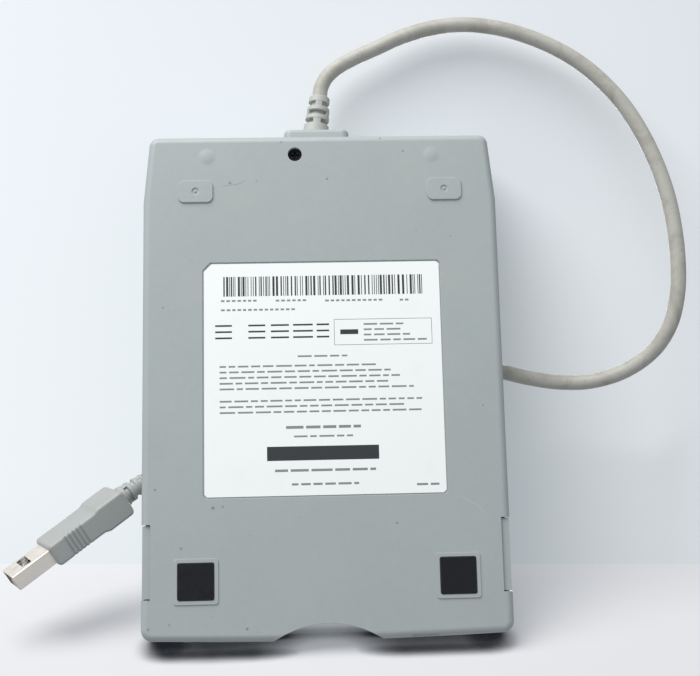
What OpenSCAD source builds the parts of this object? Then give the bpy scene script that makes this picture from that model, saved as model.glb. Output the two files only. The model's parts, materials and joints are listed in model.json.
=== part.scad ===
// External 3.5 inch floppy disk drive with a captive USB lead.
// Millimetres, +Z up, front slot towards -Y. The drive stands on two rubber feet and two
// moulded pads at z = 0. The origin is under the middle of the case, lead left out.
// Depths into the drive are counted from the front edge, so most modules sit in from_front().

/* [Body] */
// Width of the case
body_w = 104; // [102:1:120]
// Length of the case, front edge to rear wall
body_l = 146; // [144:1:160]
// Height of the case without its feet
body_h = 18; // [18:0.5:24]
// Wall of both case halves
wall = 1.8; // [1.4:0.1:2]
// Height of the lower case half
split_h = 8.8; // [8.4:0.1:9.4]
// Rounding of the edges around the underside
bottom_edge_r = 2.2; // [1:0.1:2.6]
// Rounding of the edges around the top
top_edge_r = 2.6; // [1:0.1:3.4]
// Corner radius at the front, seen from above
front_corner_r = 3.3; // [2.7:0.1:4.5]
// Corner radius at the rear, seen from above
rear_corner_r = 2.8; // [2.7:0.1:4.5]
// How far the middle of the front edge bows out
front_bow = 0.9; // [0:0.1:1.4]
// Length of the tapered stretch at the rear
taper_l = 20; // [10:1:30]
// How far each side draws in at the rear
taper_in = 1.6; // [0:0.1:2.4]
// Groove along the seam between the case halves
seam_cut = 0.3; // [0.1:0.05:0.5]

/* [Underside] */
// Height at which the feet hold the case
stand_h = 0.5; // [0.4:0.1:2]
// Width and length of a rubber foot
foot_w = 10.1; // [6:0.1:12]
// Thickness of a rubber foot
foot_t = 1.3; // [1:0.1:1.5]
// Height of the platform around a foot
platform_h = 0.3; // [0.1:0.1:0.4]
// Rim of the platform around a foot
platform_rim = 1.2; // [0.6:0.1:2]
// Distance of a foot's centre from the side of the case
foot_side = 15.4; // [12:0.1:20]
// Depth of a foot's centre from the front
foot_y = 17; // [14:0.5:20]
// Width of a moulded rear pad
pad_w = 10.2; // [6:0.1:14]
// Length of a moulded rear pad
pad_l = 6.7; // [4:0.1:9]
// Depth of a rear pad's centre from the front
pad_y = 129; // [125:0.5:131]
// Width of the label
label_w = 68.4; // [40:0.2:80]
// Length of the label
label_l = 67.1; // [40:0.1:80]
// Depth of the label's centre from the front
label_y = 73.6; // [70:0.1:80]
// Thickness of the label
label_t = 0.2; // [0.1:0.05:0.3]
// Depth of the label's recess
label_recess = 0.35; // [0.3:0.05:0.6]
// Length of the snap windows in the sides
window_l = 20.6; // [12:0.2:26]
// Depth of a snap window's centre from the front
window_y = 22.5; // [20:0.5:26]
// Radius of the case screw's hole
screw_hole_r = 2.07; // [1.9:0.01:2.6]

/* [Front] */
// Width of the finger notch across the front edge
notch_w = 31; // [24:0.5:40]
// Depth of the finger notch
notch_d = 4.8; // [3:0.1:5.2]
// Gap beside the disk in the slot
slot_room = 1.2; // [0.8:0.1:1.4]
// Height of the disk slot
slot_h = 4.6; // [4.3:0.1:4.8]
// How far the bezel lies behind the case's front edge
bezel_set_back = 1.4; // [1:0.1:2]
// Thickness of the bezel's face
bezel_t = 1.5; // [1:0.1:1.7]
// Width of the eject button
button_w = 15; // [10:0.5:18]
// Height of the eject button
button_h = 4.4; // [3:0.1:4.6]
// Distance of the eject button's centre from the side of the case
button_side = 19; // [16:0.5:24]
// How far the eject button comes out when a disk is in
eject_travel = 5.5; // [4:0.1:6]
// Width of the lamp's window
lens_w = 5; // [2:0.5:7]
// Height of the lamp's window
lens_h = 2; // [1.5:0.1:2.6]
// Distance of the lamp from the side of the case
lens_side = 18; // [16:0.5:24]

/* [Disk] */
// Gap beside the disk in its cage
disk_room = 0.3; // [0.2:0.05:0.5]
// Thickness of the disk
disk_t = 3.3; // [3.1:0.05:3.4]
// How far the cage lowers the disk on to the spindle
cage_drop = 2.2; // [2:0.05:2.3]
// Travel of the heads from the outer to the inner track
head_travel = 15; // [13:0.5:15]

/* [Mechanism] */
// Gap between the chassis and the case's side walls
chassis_room = 2.2; // [1.8:0.1:2.6]
// Length of the bay behind the chassis, with the USB board
rear_bay_l = 18.2; // [17.8:0.1:19]
// Room behind the heads' travel for the arm's pivot and the chassis's end
mast_room = 9.5; // [9.2:0.1:10]
// Sheet of the chassis
sheet = 0.8; // [0.6:0.05:0.9]
// Sheet of the disk cage and of the cover
thin_sheet = 0.5; // [0.4:0.05:0.5]
// Thickness of the circuit boards
board_t = 0.6; // [0.5:0.05:0.7]
// Outer radius of the spindle motor's rotor
rotor_r = 21.5; // [20:0.1:21.7]
// Height of the rotor cup
rotor_h = 2.6; // [2.4:0.1:2.8]
// Radius of the spindle's shaft
shaft_r = 1.5; // [1:0.05:1.8]
// Radius of the cage pins
cage_pin_r = 0.8; // [0.6:0.05:1]
// Radius of the guide rods
rod_r = 1.2; // [0.9:0.05:1.3]
// Distance of each guide rod from the middle
rod_x = 9; // [8.6:0.1:9.2]
// Core radius of the lead screw
screw_core_r = 0.9; // [0.7:0.05:1]
// Advance of the lead screw per turn
screw_lead = 3.75; // [3:0.25:5]
// Width of the stepper motor
stepper_w = 12; // [10:0.5:13]

/* [Lead and plug] */
// Diameter of the lead
cord_d = 4.5; // [4:0.1:5]
// Width of the collar that the lead leaves through
collar_w = 19.4; // [14:0.2:24]
// Height of the collar
collar_h = 12; // [10:0.5:13]
// How far the collar stands out of the rear wall
collar_out = 3; // [2:0.5:4]
// Radius of the strain relief at the collar
relief_base_r = 4; // [3.6:0.1:4.4]
// Radius of the strain relief at its tip
relief_tip_r = 3.1; // [2.8:0.1:3.4]
// Length of the strain relief outside the collar
relief_l = 12; // [10:0.2:16]
// Lean of the strain relief towards the lead's bend
relief_lean = 7; // [0:1:8]
// Width of the plug's metal shell
shell_w = 12; // [12:0.1:12.1]
// Thickness of the plug's metal shell
shell_t = 4.5; // [4.4:0.1:4.6]
// Length of the plug's metal shell
shell_l = 12; // [11.75:0.25:14]
// Sheet of the plug's shell
shell_sheet = 0.3; // [0.2:0.05:0.4]
// Width of the plug's moulded grip
grip_w = 15.6; // [14:0.1:18]
// Thickness of the plug's moulded grip
grip_t = 8; // [7:0.1:9]
// Length of the plug's moulded grip
grip_l = 26; // [22:0.5:32]
// Thickness of the grip's front part
grip_front_t = 6.8; // [6:0.1:7]
// Length of the grip's thicker rear part
grip_rear_l = 9; // [6:0.5:12]
// Length of the plug's strain relief
tail_l = 8.6; // [6:0.2:12]

/* [Clearances] */
// Gap between pieces that move past each other
move_gap = 0.25; // [0.2:0.05:0.3]
// Gap around pieces that are set into others
seat_gap = 0.1; // [0.05:0.05:0.15]
// Radial gap of pins and shafts in their holes
pin_gap = 0.04; // [0.02:0.01:0.08]

/* [Hidden] */
$fn = 40;
cut = 0.05;

// Places of the case
front_y = -(body_l + collar_out) / 2;
half_w = body_w / 2;
foot_x = half_w - foot_side;
button_x = half_w - button_side;
lens_x = half_w - lens_side;
floor_z = stand_h + wall;
top_z = stand_h + body_h;
roof_z = top_z - wall;
split_z = stand_h + split_h;
rear_inner_y = body_l - wall;
notch_r = (notch_d * notch_d + notch_w * notch_w / 4) / (2 * notch_d);
notch_centre_y = notch_d - notch_r;
corner_steps = 6;
bow_steps = 8;

// Heights inside, from the floor up
drive_z = floor_z + 0.4;
deck_z = drive_z + sheet;
rotor_z = deck_z + board_t + 0.3;
rotor_top_z = rotor_z + rotor_h;
hub_h = 0.6;
hub_top_z = rotor_top_z + hub_h;
disk_low_z = hub_top_z + 0.2;
disk_high_z = disk_low_z + cage_drop;
cage_in_h = disk_t + 0.3;
cage_in_z = disk_high_z - 0.1;
cage_z = cage_in_z - thin_sheet;
cage_top_z = cage_in_z + cage_in_h + thin_sheet;
cover_z = cage_top_z + 1;
slot_z = disk_high_z + disk_t / 2 - slot_h / 2;

// Places inside, from the front edge back
chassis_y = 9;
chassis_end_y = rear_inner_y - rear_bay_l;
bezel_arc_r = notch_r + 0.9;
tunnel_end_y = notch_d + 0.9 + bezel_t;
disk_y = tunnel_end_y + 0.3;
disk_end_y = chassis_end_y - mast_room - head_travel;
spindle_y = (disk_y + disk_end_y) / 2;
board_y = spindle_y - rotor_r - 1;
door_t = 1;
door_gap = 0.3;
door_barrel_r = 1.1;
door_pin_r = 0.6;
door_y = tunnel_end_y + door_gap;
door_hinge_y = door_y + door_barrel_r;
door_hinge_z = slot_z + slot_h + door_barrel_r + 0.15;
cage_y = door_hinge_y + door_hinge_z - slot_z + 0.6;
cage_pin_ys = [cage_y + 11, disk_end_y - 9.5];
cage_pin_z = (cage_z + cage_top_z) / 2;

// Widths inside, from the case's side walls inward to a disk 90 wide
chassis_w = body_w - 2 * (wall + chassis_room);
chassis_in_w = chassis_w - 2 * sheet;
rail_t = 0.8;
rail_room = 0.35;
rail_x = chassis_in_w / 2 - rail_room - rail_t;
cage_out_w = 2 * (rail_x - move_gap);
disk_w = cage_out_w - 2 * (thin_sheet + disk_room);
slot_w = disk_w + 2 * slot_room;
door_w = slot_w - 0.6;
door_drop = door_hinge_z - slot_z + 0.2;

// Heads and carriage
head_y = disk_end_y - 7.5;
head_tip_z = disk_low_z + disk_t / 2 - 0.05;
rod_z = deck_z + 2.4;
rod_start_y = spindle_y + rotor_r + 0.5;
arm_pivot_y = disk_end_y + head_travel + 5;
arm_z = cage_top_z + 0.1;
arm_t = 0.6;
arm_pivot_z = arm_z - 1;
arm_pivot_r = 0.8;
tower_y = disk_end_y + head_travel + 0.6;
tower_end_y = chassis_end_y - sheet - 0.7;
carriage_z = deck_z + 1;
carriage_top_z = disk_low_z - 0.4;
screw_x = 19;
screw_z = deck_z + 2.8;
screw_start_y = head_y - 1.5;
screw_end_y = chassis_end_y - 12.4;
thread_r = screw_core_r + 0.3;
follower_y = head_y + 16;

// Lever that opens the disk's shutter, on the cage
lever_at = [21.8 - cage_out_w / 2, disk_end_y - 19.5];
lever_l = 19;
lever_angle = 215;
lever_swing = 60;
lever_t = 0.6;
lever_pin_r = 1;

// Rear of the case
case_screw_at = [7.3, body_l - 5.9];
gland_x = 0.8;
usb_board_y = chassis_end_y + 2;
usb_board_l = rear_bay_l - 3.8;
usb_board_z = floor_z + 2.4;
ear_z = floor_z + 3.6;
ear_at = [chassis_w / 2 - 7, chassis_end_y + 4.5];
usb_board_w = 2 * (ear_at[0] - 8);
usb_post_x = case_screw_at[0] + 17.7;
usb_post_y = usb_board_y + 7.2;

// Grip of the plug where it lies: tail end, then turn about its own axis, dip and heading
plug_tail_at = [53.9, -28.7, 20.5];
plug_turn = [-23, 17.9, -38.2];
plug_heading = [
    cos(plug_turn[1]) * cos(plug_turn[2]), cos(plug_turn[1]) * sin(plug_turn[2]), -sin(plug_turn[1])
];

// Route of the lead: from the strain relief it loops over the table, then over the case
relief_ring_l = 1.2;
relief_end = [
    gland_x - (relief_l - relief_ring_l) * sin(relief_lean),
    body_l + collar_out + relief_ring_l + (relief_l - relief_ring_l) * cos(relief_lean),
    split_z
];
cord_start = [relief_end[0], front_y + relief_end[1], split_z];
cord_route = [
    cord_start,
    [-0.86, 89.2, 9.3],
    [-1.6, 91.1, 9.2],
    [-2.7, 92.9, 9],
    [-4.5, 94.7, 8.8],
    [-7.8, 96.9, 8.3],
    [-12.3, 99, 7.6],
    [-17.9, 101.2, 6.8],
    [-25.5, 104.3, 5.7],
    [-34.6, 106.6, 4.5],
    [-43.8, 107.3, 3.5],
    [-52.9, 106.2, 2.8],
    [-61.9, 103.7, 2.4],
    [-70.5, 100, 2.3],
    [-78.5, 95.2, 2.3],
    [-85.8, 88.8, 2.3],
    [-92.2, 81, 2.3],
    [-97.3, 72, 2.3],
    [-101.2, 62.4, 2.3],
    [-103.9, 52.6, 2.3],
    [-105.3, 42.8, 2.3],
    [-105.8, 32.4, 2.5],
    [-105.3, 22.6, 3.4],
    [-103.3, 13.6, 5.8],
    [-98.9, 6.3, 9.6],
    [-91, 0.8, 13.6],
    [-81.7, -1.7, 17.2],
    [-72.5, -1.6, 19.6],
    [-63.5, 0, 20.8],
    [-54, 2.4, 21],
    [-42, 4.8, 20.9],
    [-28, 5.5, 20.9],
    [-13, 4.9, 20.9],
    [2, 2.6, 20.9],
    [15, -1.8, 21],
    [27, -8, 21.4],
    [37.5, -15.4, 22.2],
    [45.3, -21.7, 22.6],
    plug_tail_at - 4 * plug_heading,
    plug_tail_at
];

// Colours
case_grey = "#aab1b3";
dark_grey = "#4a4e52";
cord_grey = "#c4c3bd";
steel = "#b9bcbf";
board_green = "#2f6b45";

// ---- helpers ----

module from_front() {
    translate([0, front_y, 0]) children();
}

// Box between two corners
module box(a, b) {
    translate(a) cube(b - a);
}

module both_sides() {
    children();
    mirror([1, 0, 0]) children();
}

// Round bar along X, Y or Z from the point p
module bar_x(p, l, r) {
    translate(p) rotate([0, 90, 0]) cylinder(h = l, r = r);
}

module bar_y(p, l, r) {
    translate(p) rotate([-90, 0, 0]) cylinder(h = l, r = r);
}

module bar_z(p, l, r) {
    translate(p) cylinder(h = l, r = r);
}

// Flat box with rounded upright corners
module rounded_box(size, r) {
    translate([0, 0, size[2] / 2]) {
        cube([size[0] - 2 * r, size[1], size[2]], center = true);
        cube([size[0], size[1] - 2 * r, size[2]], center = true);
    }
    for (x = [-1, 1], y = [-1, 1])
        bar_z([x * (size[0] / 2 - r), y * (size[1] / 2 - r), 0], size[2], r);
}

// Tube swept along points. Each ring stands square to the path and starts from the
// direction in it that is nearest to "side".
function unit(v) = v / norm(v);
function heading(pts, i) =
    unit(pts[min(i + 1, len(pts) - 1)] - pts[max(i - 1, 0)]);
function ring(p, along, side, r, sides) =
    let (u = unit(cross(along, side)), v = cross(u, along))
    [for (k = [0:sides - 1]) p + r * (u * cos(360 * k / sides) + v * sin(360 * k / sides))];

module tube(pts, r, sides, side = [0, 0, 1]) {
    n = len(pts);
    rings = [for (i = [0:n - 1]) each ring(pts[i], heading(pts, i), side, r, sides)];
    walls = [for (i = [0:n - 2], k = [0:sides - 1], t = [0, 1])
        let (a = i * sides + k, b = i * sides + (k + 1) % sides)
        t == 0 ? [a, b, b + sides] : [a, b + sides, a + sides]];
    first = [for (k = [sides - 1:-1:0]) k];
    last = [for (k = [0:sides - 1]) (n - 1) * sides + k];
    polyhedron(points = rings, faces = concat([first], walls, [last]));
}

// Coil spring along Z
module coil(r, wire_r, turns, l, steps = 10) {
    pts = [for (i = [0:turns * steps])
        [r * cos(360 * i / steps), r * sin(360 * i / steps), l * i / (turns * steps)]];
    tube(pts, wire_r, 6);
}

// Outline of the case seen from above, drawn in by d all round
function arc(c, r, from, to) = [for (i = [0:corner_steps])
    let (a = from + (to - from) * i / corner_steps) c + r * [cos(a), sin(a)]];
function case_outline(d) =
    let (
        rf = max(front_corner_r - d, 0.3),
        rr = max(rear_corner_r - d, 0.3),
        w = half_w - d,
        wr = half_w - taper_in - d,
        right = concat(
            [for (i = [1:bow_steps])
                let (x = (w - rf) * i / bow_steps, s = x / (w - rf))
                [x, d + front_bow * s * s]],
            arc([w - rf, d + front_bow + rf], rf, -80, 0),
            [[w, body_l - taper_l]],
            arc([wr - rr, body_l - d - rr], rr, 0, 90)
        ),
        left = [for (i = [len(right) - 1:-1:0]) [-right[i][0], right[i][1]]]
    )
    concat([[0, d]], right, left);

module case_slab(d, z, h) {
    translate([0, 0, z]) linear_extrude(h) polygon(case_outline(d));
}

// Solid through outlines of the case: how far each is drawn in, and its height
module case_loft(levels) {
    n = len(case_outline(0));
    top = (len(levels) - 1) * n;
    points = [for (l = levels) each [for (p = case_outline(l[0])) [p[0], p[1], l[1]]]];
    walls = [for (i = [0:len(levels) - 2], k = [0:n - 1])
        let (a = i * n + k, b = i * n + (k + 1) % n)
        [a, a + n, b + n, b]];
    polyhedron(points, concat([[for (k = [0:n - 1]) k]], walls, [[for (k = [n - 1:-1:0]) top + k]]));
}

// Solid lower half: level at the seam, rounded towards the underside
module lower_block() {
    r = bottom_edge_r;
    case_loft(concat(
        [for (a = [0:15:90]) [r * (1 - sin(a)), stand_h + r * (1 - cos(a))]],
        [[0, split_z]]
    ));
}

// Solid upper half: rounded towards the top
module upper_block() {
    r = top_edge_r;
    case_loft(concat(
        [[0, split_z]],
        [for (a = [90:-22.5:0]) [r * (1 - sin(a)), top_z - r * (1 - cos(a))]]
    ));
}

// Finger notch through one case half or the bezel
module notch(r, z0, z1) {
    bar_z([0, notch_centre_y, z0], z1 - z0, r, $fn = 96);
}

// Opening in the front that the bezel fills
bezel_w = body_w - 2 * front_corner_r + 1.4;
bezel_z = floor_z + seat_gap;
bezel_h = roof_z - floor_z - 2 * seat_gap;
module front_opening() {
    box([-bezel_w / 2 - seat_gap, -1, floor_z], [bezel_w / 2 + seat_gap, wall + 6, roof_z]);
}

// Snap tongue of the upper half, and the window it sits in
tongue_t = 2.2;
tongue_inset = 0.4;
tongue_z = stand_h + 0.8;
window_x = half_w - tongue_inset - tongue_t - seat_gap;
module snap_window() {
    box([window_x, window_y - window_l / 2, stand_h - 1],
        [half_w + 1, window_y + window_l / 2, split_z + 1]);
}

module snap_tongue() {
    box([half_w - tongue_inset - tongue_t, window_y - window_l / 2 + 0.3, tongue_z],
        [half_w - tongue_inset, window_y + window_l / 2 - 0.3, split_z + 2]);
}

// Collar around the lead's way out, its rear edge rounded: the part between two heights
collar_edge_r = 1.2;
module collar(z0, z1) {
    r = 2.2;
    out = wall + collar_out;
    intersection() {
        translate([gland_x, body_l - wall, split_z]) rotate([-90, 0, 0]) hull() {
            for (x = [-1, 1], y = [-1, 1])
                translate([x * (collar_w / 2 - r), y * (collar_h / 2 - r), 0])
                    for (a = [0:30:90])
                        cylinder(h = out - collar_edge_r * (1 - sin(a)),
                            r = r - collar_edge_r * (1 - cos(a)));
        }
        box([-half_w, body_l - wall - 1, z0], [half_w, body_l + collar_out + 1, z1]);
    }
}

// Way of the strain relief through the rear wall and collar
relief_neck_r = 3.2;
flange_w = 11;
flange_h = 8.4;
flange_t = 1.4;
flange_y = rear_inner_y + 1;
neck_y = rear_inner_y - 0.6;
module gland_way() {
    bar_y([gland_x, body_l - wall - 1, split_z], collar_out + wall + 2, relief_neck_r + seat_gap);
    box([gland_x - flange_w / 2 - seat_gap, flange_y - seat_gap, split_z - flange_h / 2 - seat_gap],
        [gland_x + flange_w / 2 + seat_gap, flange_y + flange_t + seat_gap,
            split_z + flange_h / 2 + seat_gap]);
}

// ---- case ----

boss_r = 3.9;
screw_r = 1.15;
screw_head_h = 1.4;
screw_seat_z = floor_z + 0.8;

module label_outline(grow) {
    w = label_w / 2 + grow;
    l = label_l / 2 + grow;
    nick = 0.8;
    long_nick = 2.2;
    polygon([
        [-w + nick, -l], [w - nick, -l], [w, -l + nick], [w, l - long_nick],
        [w - long_nick, l], [-w + nick, l], [-w, l - nick], [-w, -l + nick]
    ]);
}

module bottom_case() {
    color(case_grey) from_front() difference() {
        union() {
            difference() {
                lower_block();
                case_slab(wall, floor_z, body_h);
            }
            underside_details();
            collar(split_z - collar_h, split_z);
            bar_z([case_screw_at[0], case_screw_at[1], floor_z - 1], split_z - floor_z + 1, boss_r);
            both_sides() bar_z([ear_at[0], ear_at[1], floor_z - 1], ear_z - floor_z + 1, 3.2);
            for (x = [-1, 1])
                bar_z([x * usb_post_x, usb_post_y, floor_z - 1],
                    usb_board_z - floor_z + 1, 2.2);
            chassis_pads();
            both_sides() front_hook();
        }
        front_opening();
        notch(notch_r, -1, floor_z + 1);
        both_sides() snap_window();
        gland_way();
        both_sides() translate([foot_x, foot_y, -1])
            rounded_box([foot_w + 2 * seat_gap, foot_w + 2 * seat_gap, foot_t + 1], 0.6);
        translate([0, label_y, stand_h - 1]) linear_extrude(1 + label_recess)
            label_outline(0.4);
        bar_z([case_screw_at[0], case_screw_at[1], -1], screw_seat_z + 1, screw_hole_r);
        bar_z([case_screw_at[0], case_screw_at[1], 0], split_z + 1, screw_r + 0.2);
        both_sides() bar_z([ear_at[0], ear_at[1], floor_z], ear_z, 1.25);
        for (x = [-1, 1])
            bar_z([x * usb_post_x, usb_post_y, floor_z], usb_board_z, 0.85);
        front_relief();
    }
}

// Raised details on the underside: foot platforms, rear pads and two shallow domes
bump_at = [foot_x - 3.4, body_l - 6.4];
bump_r = 2.9;
bump_h = 0.3;
bump_ball_r = (bump_r * bump_r + bump_h * bump_h) / (2 * bump_h);
module underside_details() {
    both_sides() translate([foot_x, foot_y, stand_h - platform_h])
        rounded_box([foot_w + 2 * platform_rim, foot_w + 2 * platform_rim, platform_h + 0.5], 0.8);
    both_sides() difference() {
        translate([foot_x, pad_y, 0]) rounded_box([pad_w, pad_l, stand_h + 0.5], 1.8);
        difference() {
            bar_z([foot_x, pad_y, -cut], 0.35, 1);
            bar_z([foot_x, pad_y, -1], 2, 0.35);
        }
    }
    both_sides() intersection() {
        translate([bump_at[0], bump_at[1], stand_h - bump_h + bump_ball_r]) sphere(bump_ball_r);
        bar_z([bump_at[0], bump_at[1], stand_h - 1], 1.5, bump_r);
    }
}

// Pads under the chassis
module chassis_pads() {
    for (x = [-1, 1], y = [chassis_y + 30, chassis_end_y - 17])
        bar_z([x * (chassis_w / 2 - 9), y, floor_z - 1], drive_z - floor_z + 1, 3);
}

// Hook that holds the chassis's front edge down
hook_x = 18;
module front_hook() {
    box([hook_x, chassis_y - 1.3, floor_z - 1],
        [hook_x + 5, chassis_y - seat_gap, deck_z + 0.9]);
    box([hook_x, chassis_y - 1.3, deck_z + seat_gap], [hook_x + 5, chassis_y + 2, deck_z + 0.9]);
}

// Shallow relief in the front edge, on the lamp's side
module front_relief() {
    box([-30.7, -1, stand_h - 1], [-23.3, front_bow + 0.2, stand_h + 1.2]);
}

module top_case() {
    color(case_grey) from_front() difference() {
        union() {
            difference() {
                upper_block();
                case_slab(wall, split_z - 1, roof_z - split_z + 1);
                difference() {
                    case_slab(-1, split_z - cut, seam_cut + cut);
                    case_slab(seam_cut, split_z - 1, 3);
                }
            }
            collar(split_z, split_z + collar_h);
            both_sides() snap_tongue();
            bar_z([case_screw_at[0], case_screw_at[1], split_z], roof_z - split_z + 0.5, boss_r - 0.6);
        }
        front_opening();
        notch(notch_r, roof_z - 1, top_z + 1);
        gland_way();
        bar_z([case_screw_at[0], case_screw_at[1], split_z - 1], roof_z - split_z + 0.6,
            screw_r + pin_gap);
    }
}

module case_screw() {
    color("#1d1e20") from_front() translate([case_screw_at[0], case_screw_at[1], screw_seat_z])
        difference() {
            union() {
                translate([0, 0, -screw_head_h]) cylinder(h = screw_head_h, r = screw_hole_r - 0.15);
                cylinder(h = roof_z - screw_seat_z - 1, r = screw_r);
            }
            for (a = [0, 90])
                rotate([0, 0, a])
                    box([-1.2, -0.25, -screw_head_h - 1], [1.2, 0.25, -screw_head_h + 0.7]);
        }
}

module label_plate() {
    color("white") from_front()
        translate([0, label_y, stand_h + label_recess - label_t]) linear_extrude(label_t)
            label_outline(0);
}

module rubber_foot(side) {
    color("#2c2e32") from_front() translate([side * foot_x, foot_y, 0])
        rounded_box([foot_w, foot_w, foot_t], 0.5);
}

// ---- front ----

// Bezel face seen from above, following the finger notch
module bezel_face() {
    difference() {
        union() {
            translate([-bezel_w / 2, bezel_set_back]) square([bezel_w, bezel_t]);
            intersection() {
                translate([0, notch_centre_y]) circle(bezel_arc_r + bezel_t, $fn = 96);
                translate([-bezel_w / 2, bezel_set_back]) square([bezel_w, notch_r]);
            }
        }
        translate([0, notch_centre_y]) circle(bezel_arc_r, $fn = 96);
    }
}

tunnel_t = 1;
bezel_ear_x = door_w / 2 + 1;
module front_bezel() {
    color(case_grey) from_front() difference() {
        union() {
            translate([0, 0, bezel_z]) linear_extrude(bezel_h) bezel_face();
            difference() {
                box([-slot_w / 2 - tunnel_t, bezel_set_back, slot_z - tunnel_t],
                    [slot_w / 2 + tunnel_t, tunnel_end_y, slot_z + slot_h + tunnel_t]);
                notch(bezel_arc_r, 0, top_z);
            }
            both_sides() box([bezel_ear_x, bezel_set_back + cut, door_hinge_z - 1.4],
                [bezel_w / 2, door_hinge_y + 1.2, door_hinge_z + 1]);
        }
        box([-slot_w / 2, -1, slot_z], [slot_w / 2, tunnel_end_y + 1, slot_z + slot_h]);
        both_sides() bar_x([bezel_ear_x - 1, door_hinge_y, door_hinge_z], bezel_w / 2,
            door_pin_r + pin_gap);
        box([button_x - button_w / 2 - 0.2, -1, button_z - 0.2],
            [button_x + button_w / 2 + 0.2, 8, button_z + button_h + 0.2]);
        box([-lens_x - lens_w / 2 - 0.05, -1, lens_z - 0.05],
            [-lens_x + lens_w / 2 + 0.05, 8, lens_z + lens_h + 0.05]);
    }
}

spring_gap_x = [11.7 - door_w / 2, 19.7 - door_w / 2];
module slot_door() {
    color(dark_grey) from_front() difference() {
        union() {
            box([-door_w / 2, door_y, door_hinge_z - door_drop],
                [door_w / 2, door_y + door_t, door_hinge_z]);
            bar_x([-door_w / 2, door_hinge_y, door_hinge_z], door_w, door_barrel_r);
        }
        bar_x([-half_w, door_hinge_y, door_hinge_z], body_w, door_pin_r + pin_gap);
        box([spring_gap_x[0], door_y + door_t, door_hinge_z - 2],
            [spring_gap_x[1], door_y + 9, door_hinge_z + 2]);
        box([spring_gap_x[0], door_y - 1, door_hinge_z - 1.6],
            [spring_gap_x[1], door_y + 9, door_hinge_z + 2]);
    }
}

module door_pin() {
    color(steel) from_front()
        bar_x([-bezel_w / 2, door_hinge_y, door_hinge_z], bezel_w, door_pin_r);
}

// Torsion spring around the door's pin
module door_spring() {
    wire_r = 0.16;
    color(steel) from_front()
        translate([spring_gap_x[0] + 1, door_hinge_y, door_hinge_z]) rotate([0, 90, 0])
            coil(door_pin_r + wire_r + 0.12, wire_r, 8, spring_gap_x[1] - spring_gap_x[0] - 2);
}

button_z = deck_z + 0.4;
button_l = 6;
tab_w = 6;
slider_z = deck_z + 0.1;
slider_t = 0.8;
module eject_button() {
    color(case_grey) from_front() difference() {
        box([button_x - button_w / 2, bezel_set_back - 1, button_z],
            [button_x + button_w / 2, bezel_set_back - 1 + button_l, button_z + button_h]);
        box([button_x - button_w / 2 + 1.2, bezel_set_back + 0.6, button_z - 1],
            [button_x + button_w / 2 - 1.2, bezel_set_back + button_l, button_z + button_h - 1.2]);
    }
}

lens_z = deck_z + 1.2;
lamp_y = chassis_y + 0.4;
module led_lens() {
    color("#8fc46a") from_front() {
        box([-lens_x - lens_w / 2, bezel_set_back - 0.2, lens_z],
            [-lens_x + lens_w / 2, lamp_y - 0.2, lens_z + lens_h]);
    }
}

module led_lamp() {
    color("#9fd07c") from_front() {
        box([-lens_x - 1.5, lamp_y, deck_z], [-lens_x + 1.5, lamp_y + 1.8, lens_z + lens_h]);
    }
}

// ---- chassis ----

module drive_chassis() {
    color(steel) from_front() difference() {
        union() {
            box([-chassis_w / 2, chassis_y, drive_z], [chassis_w / 2, chassis_end_y, deck_z]);
            both_sides() box([chassis_in_w / 2, chassis_y + 3, drive_z],
                [chassis_w / 2, chassis_end_y, cover_z]);
            box([-chassis_w / 2, chassis_end_y - sheet, drive_z],
                [chassis_w / 2, chassis_end_y, cover_z - 2]);
            both_sides() box([ear_at[0] - 3.4, chassis_end_y - sheet, ear_z],
                [ear_at[0] + 3.4, ear_at[1] + 3.4, ear_z + sheet]);
            both_sides() box([spring_x - 2.2, spring_back_y, deck_z - 0.2],
                [spring_x + 2.2, spring_back_y + sheet, spring_z + 1.6]);
            both_sides() box([cover_screw_x - 3, cover_screw_y - 3, cover_z - sheet],
                [chassis_w / 2, cover_screw_y + 3, cover_z]);
        }
        for (y = cage_pin_ys)
            both_sides() pin_slot(y);
        stepper_window();
        for (at = board_screw_at)
            bar_z([at[0], at[1], drive_z - 1], 3, small_screw_r);
        both_sides() bar_z([ear_at[0], ear_at[1], ear_z - 1], 3, 1.4);
        both_sides() bar_z([cover_screw_x, cover_screw_y, cover_z - 1], 3, small_screw_r);
        box([board_x[0] + 4, chassis_end_y - 2, board_z + board_t + 0.4],
            [board_x[0] + 24, chassis_end_y + 1, board_z + 4]);
        for (x = [-1, 1], y = [spindle_y + 4, spindle_y + 18.5])
            bar_z([x * 36, y, 0], 9, 4);
    }
}

// Upright slot in the chassis's side for a cage pin
module pin_slot(y) {
    r = cage_pin_r + 0.1;
    box([chassis_in_w / 2 - 1, y - r, cage_pin_z - cage_drop],
        [chassis_w / 2 + 1, y + r, cage_pin_z]);
    for (z = [cage_pin_z - cage_drop, cage_pin_z])
        bar_x([chassis_in_w / 2 - 1, y, z], sheet + 2, r);
}

module stepper_window() {
    box([screw_x - stepper_w / 2 - 0.5, screw_end_y + 0.6, 0],
        [screw_x + stepper_w / 2 + 0.5, chassis_end_y - sheet - 0.5, deck_z + 1]);
}

module chassis_cover() {
    w = chassis_w / 2 + seat_gap;
    color("#c9ccce") from_front() difference() {
        union() {
            box([-w - thin_sheet, cage_y, cover_z], [w + thin_sheet, chassis_end_y, cover_z + thin_sheet]);
            both_sides() box([w, cage_y + 20, cover_z - 3], [w + thin_sheet, chassis_end_y - 6,
                cover_z + thin_sheet]);
        }
        both_sides() bar_z([cover_screw_x, cover_screw_y, cover_z - 1], 3, small_screw_r + 0.15);
        for (y = [spindle_y - 5.5, spindle_y + 24.5])
            bar_z([18, y, cover_z - 1], 3, 5);
    }
}

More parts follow.
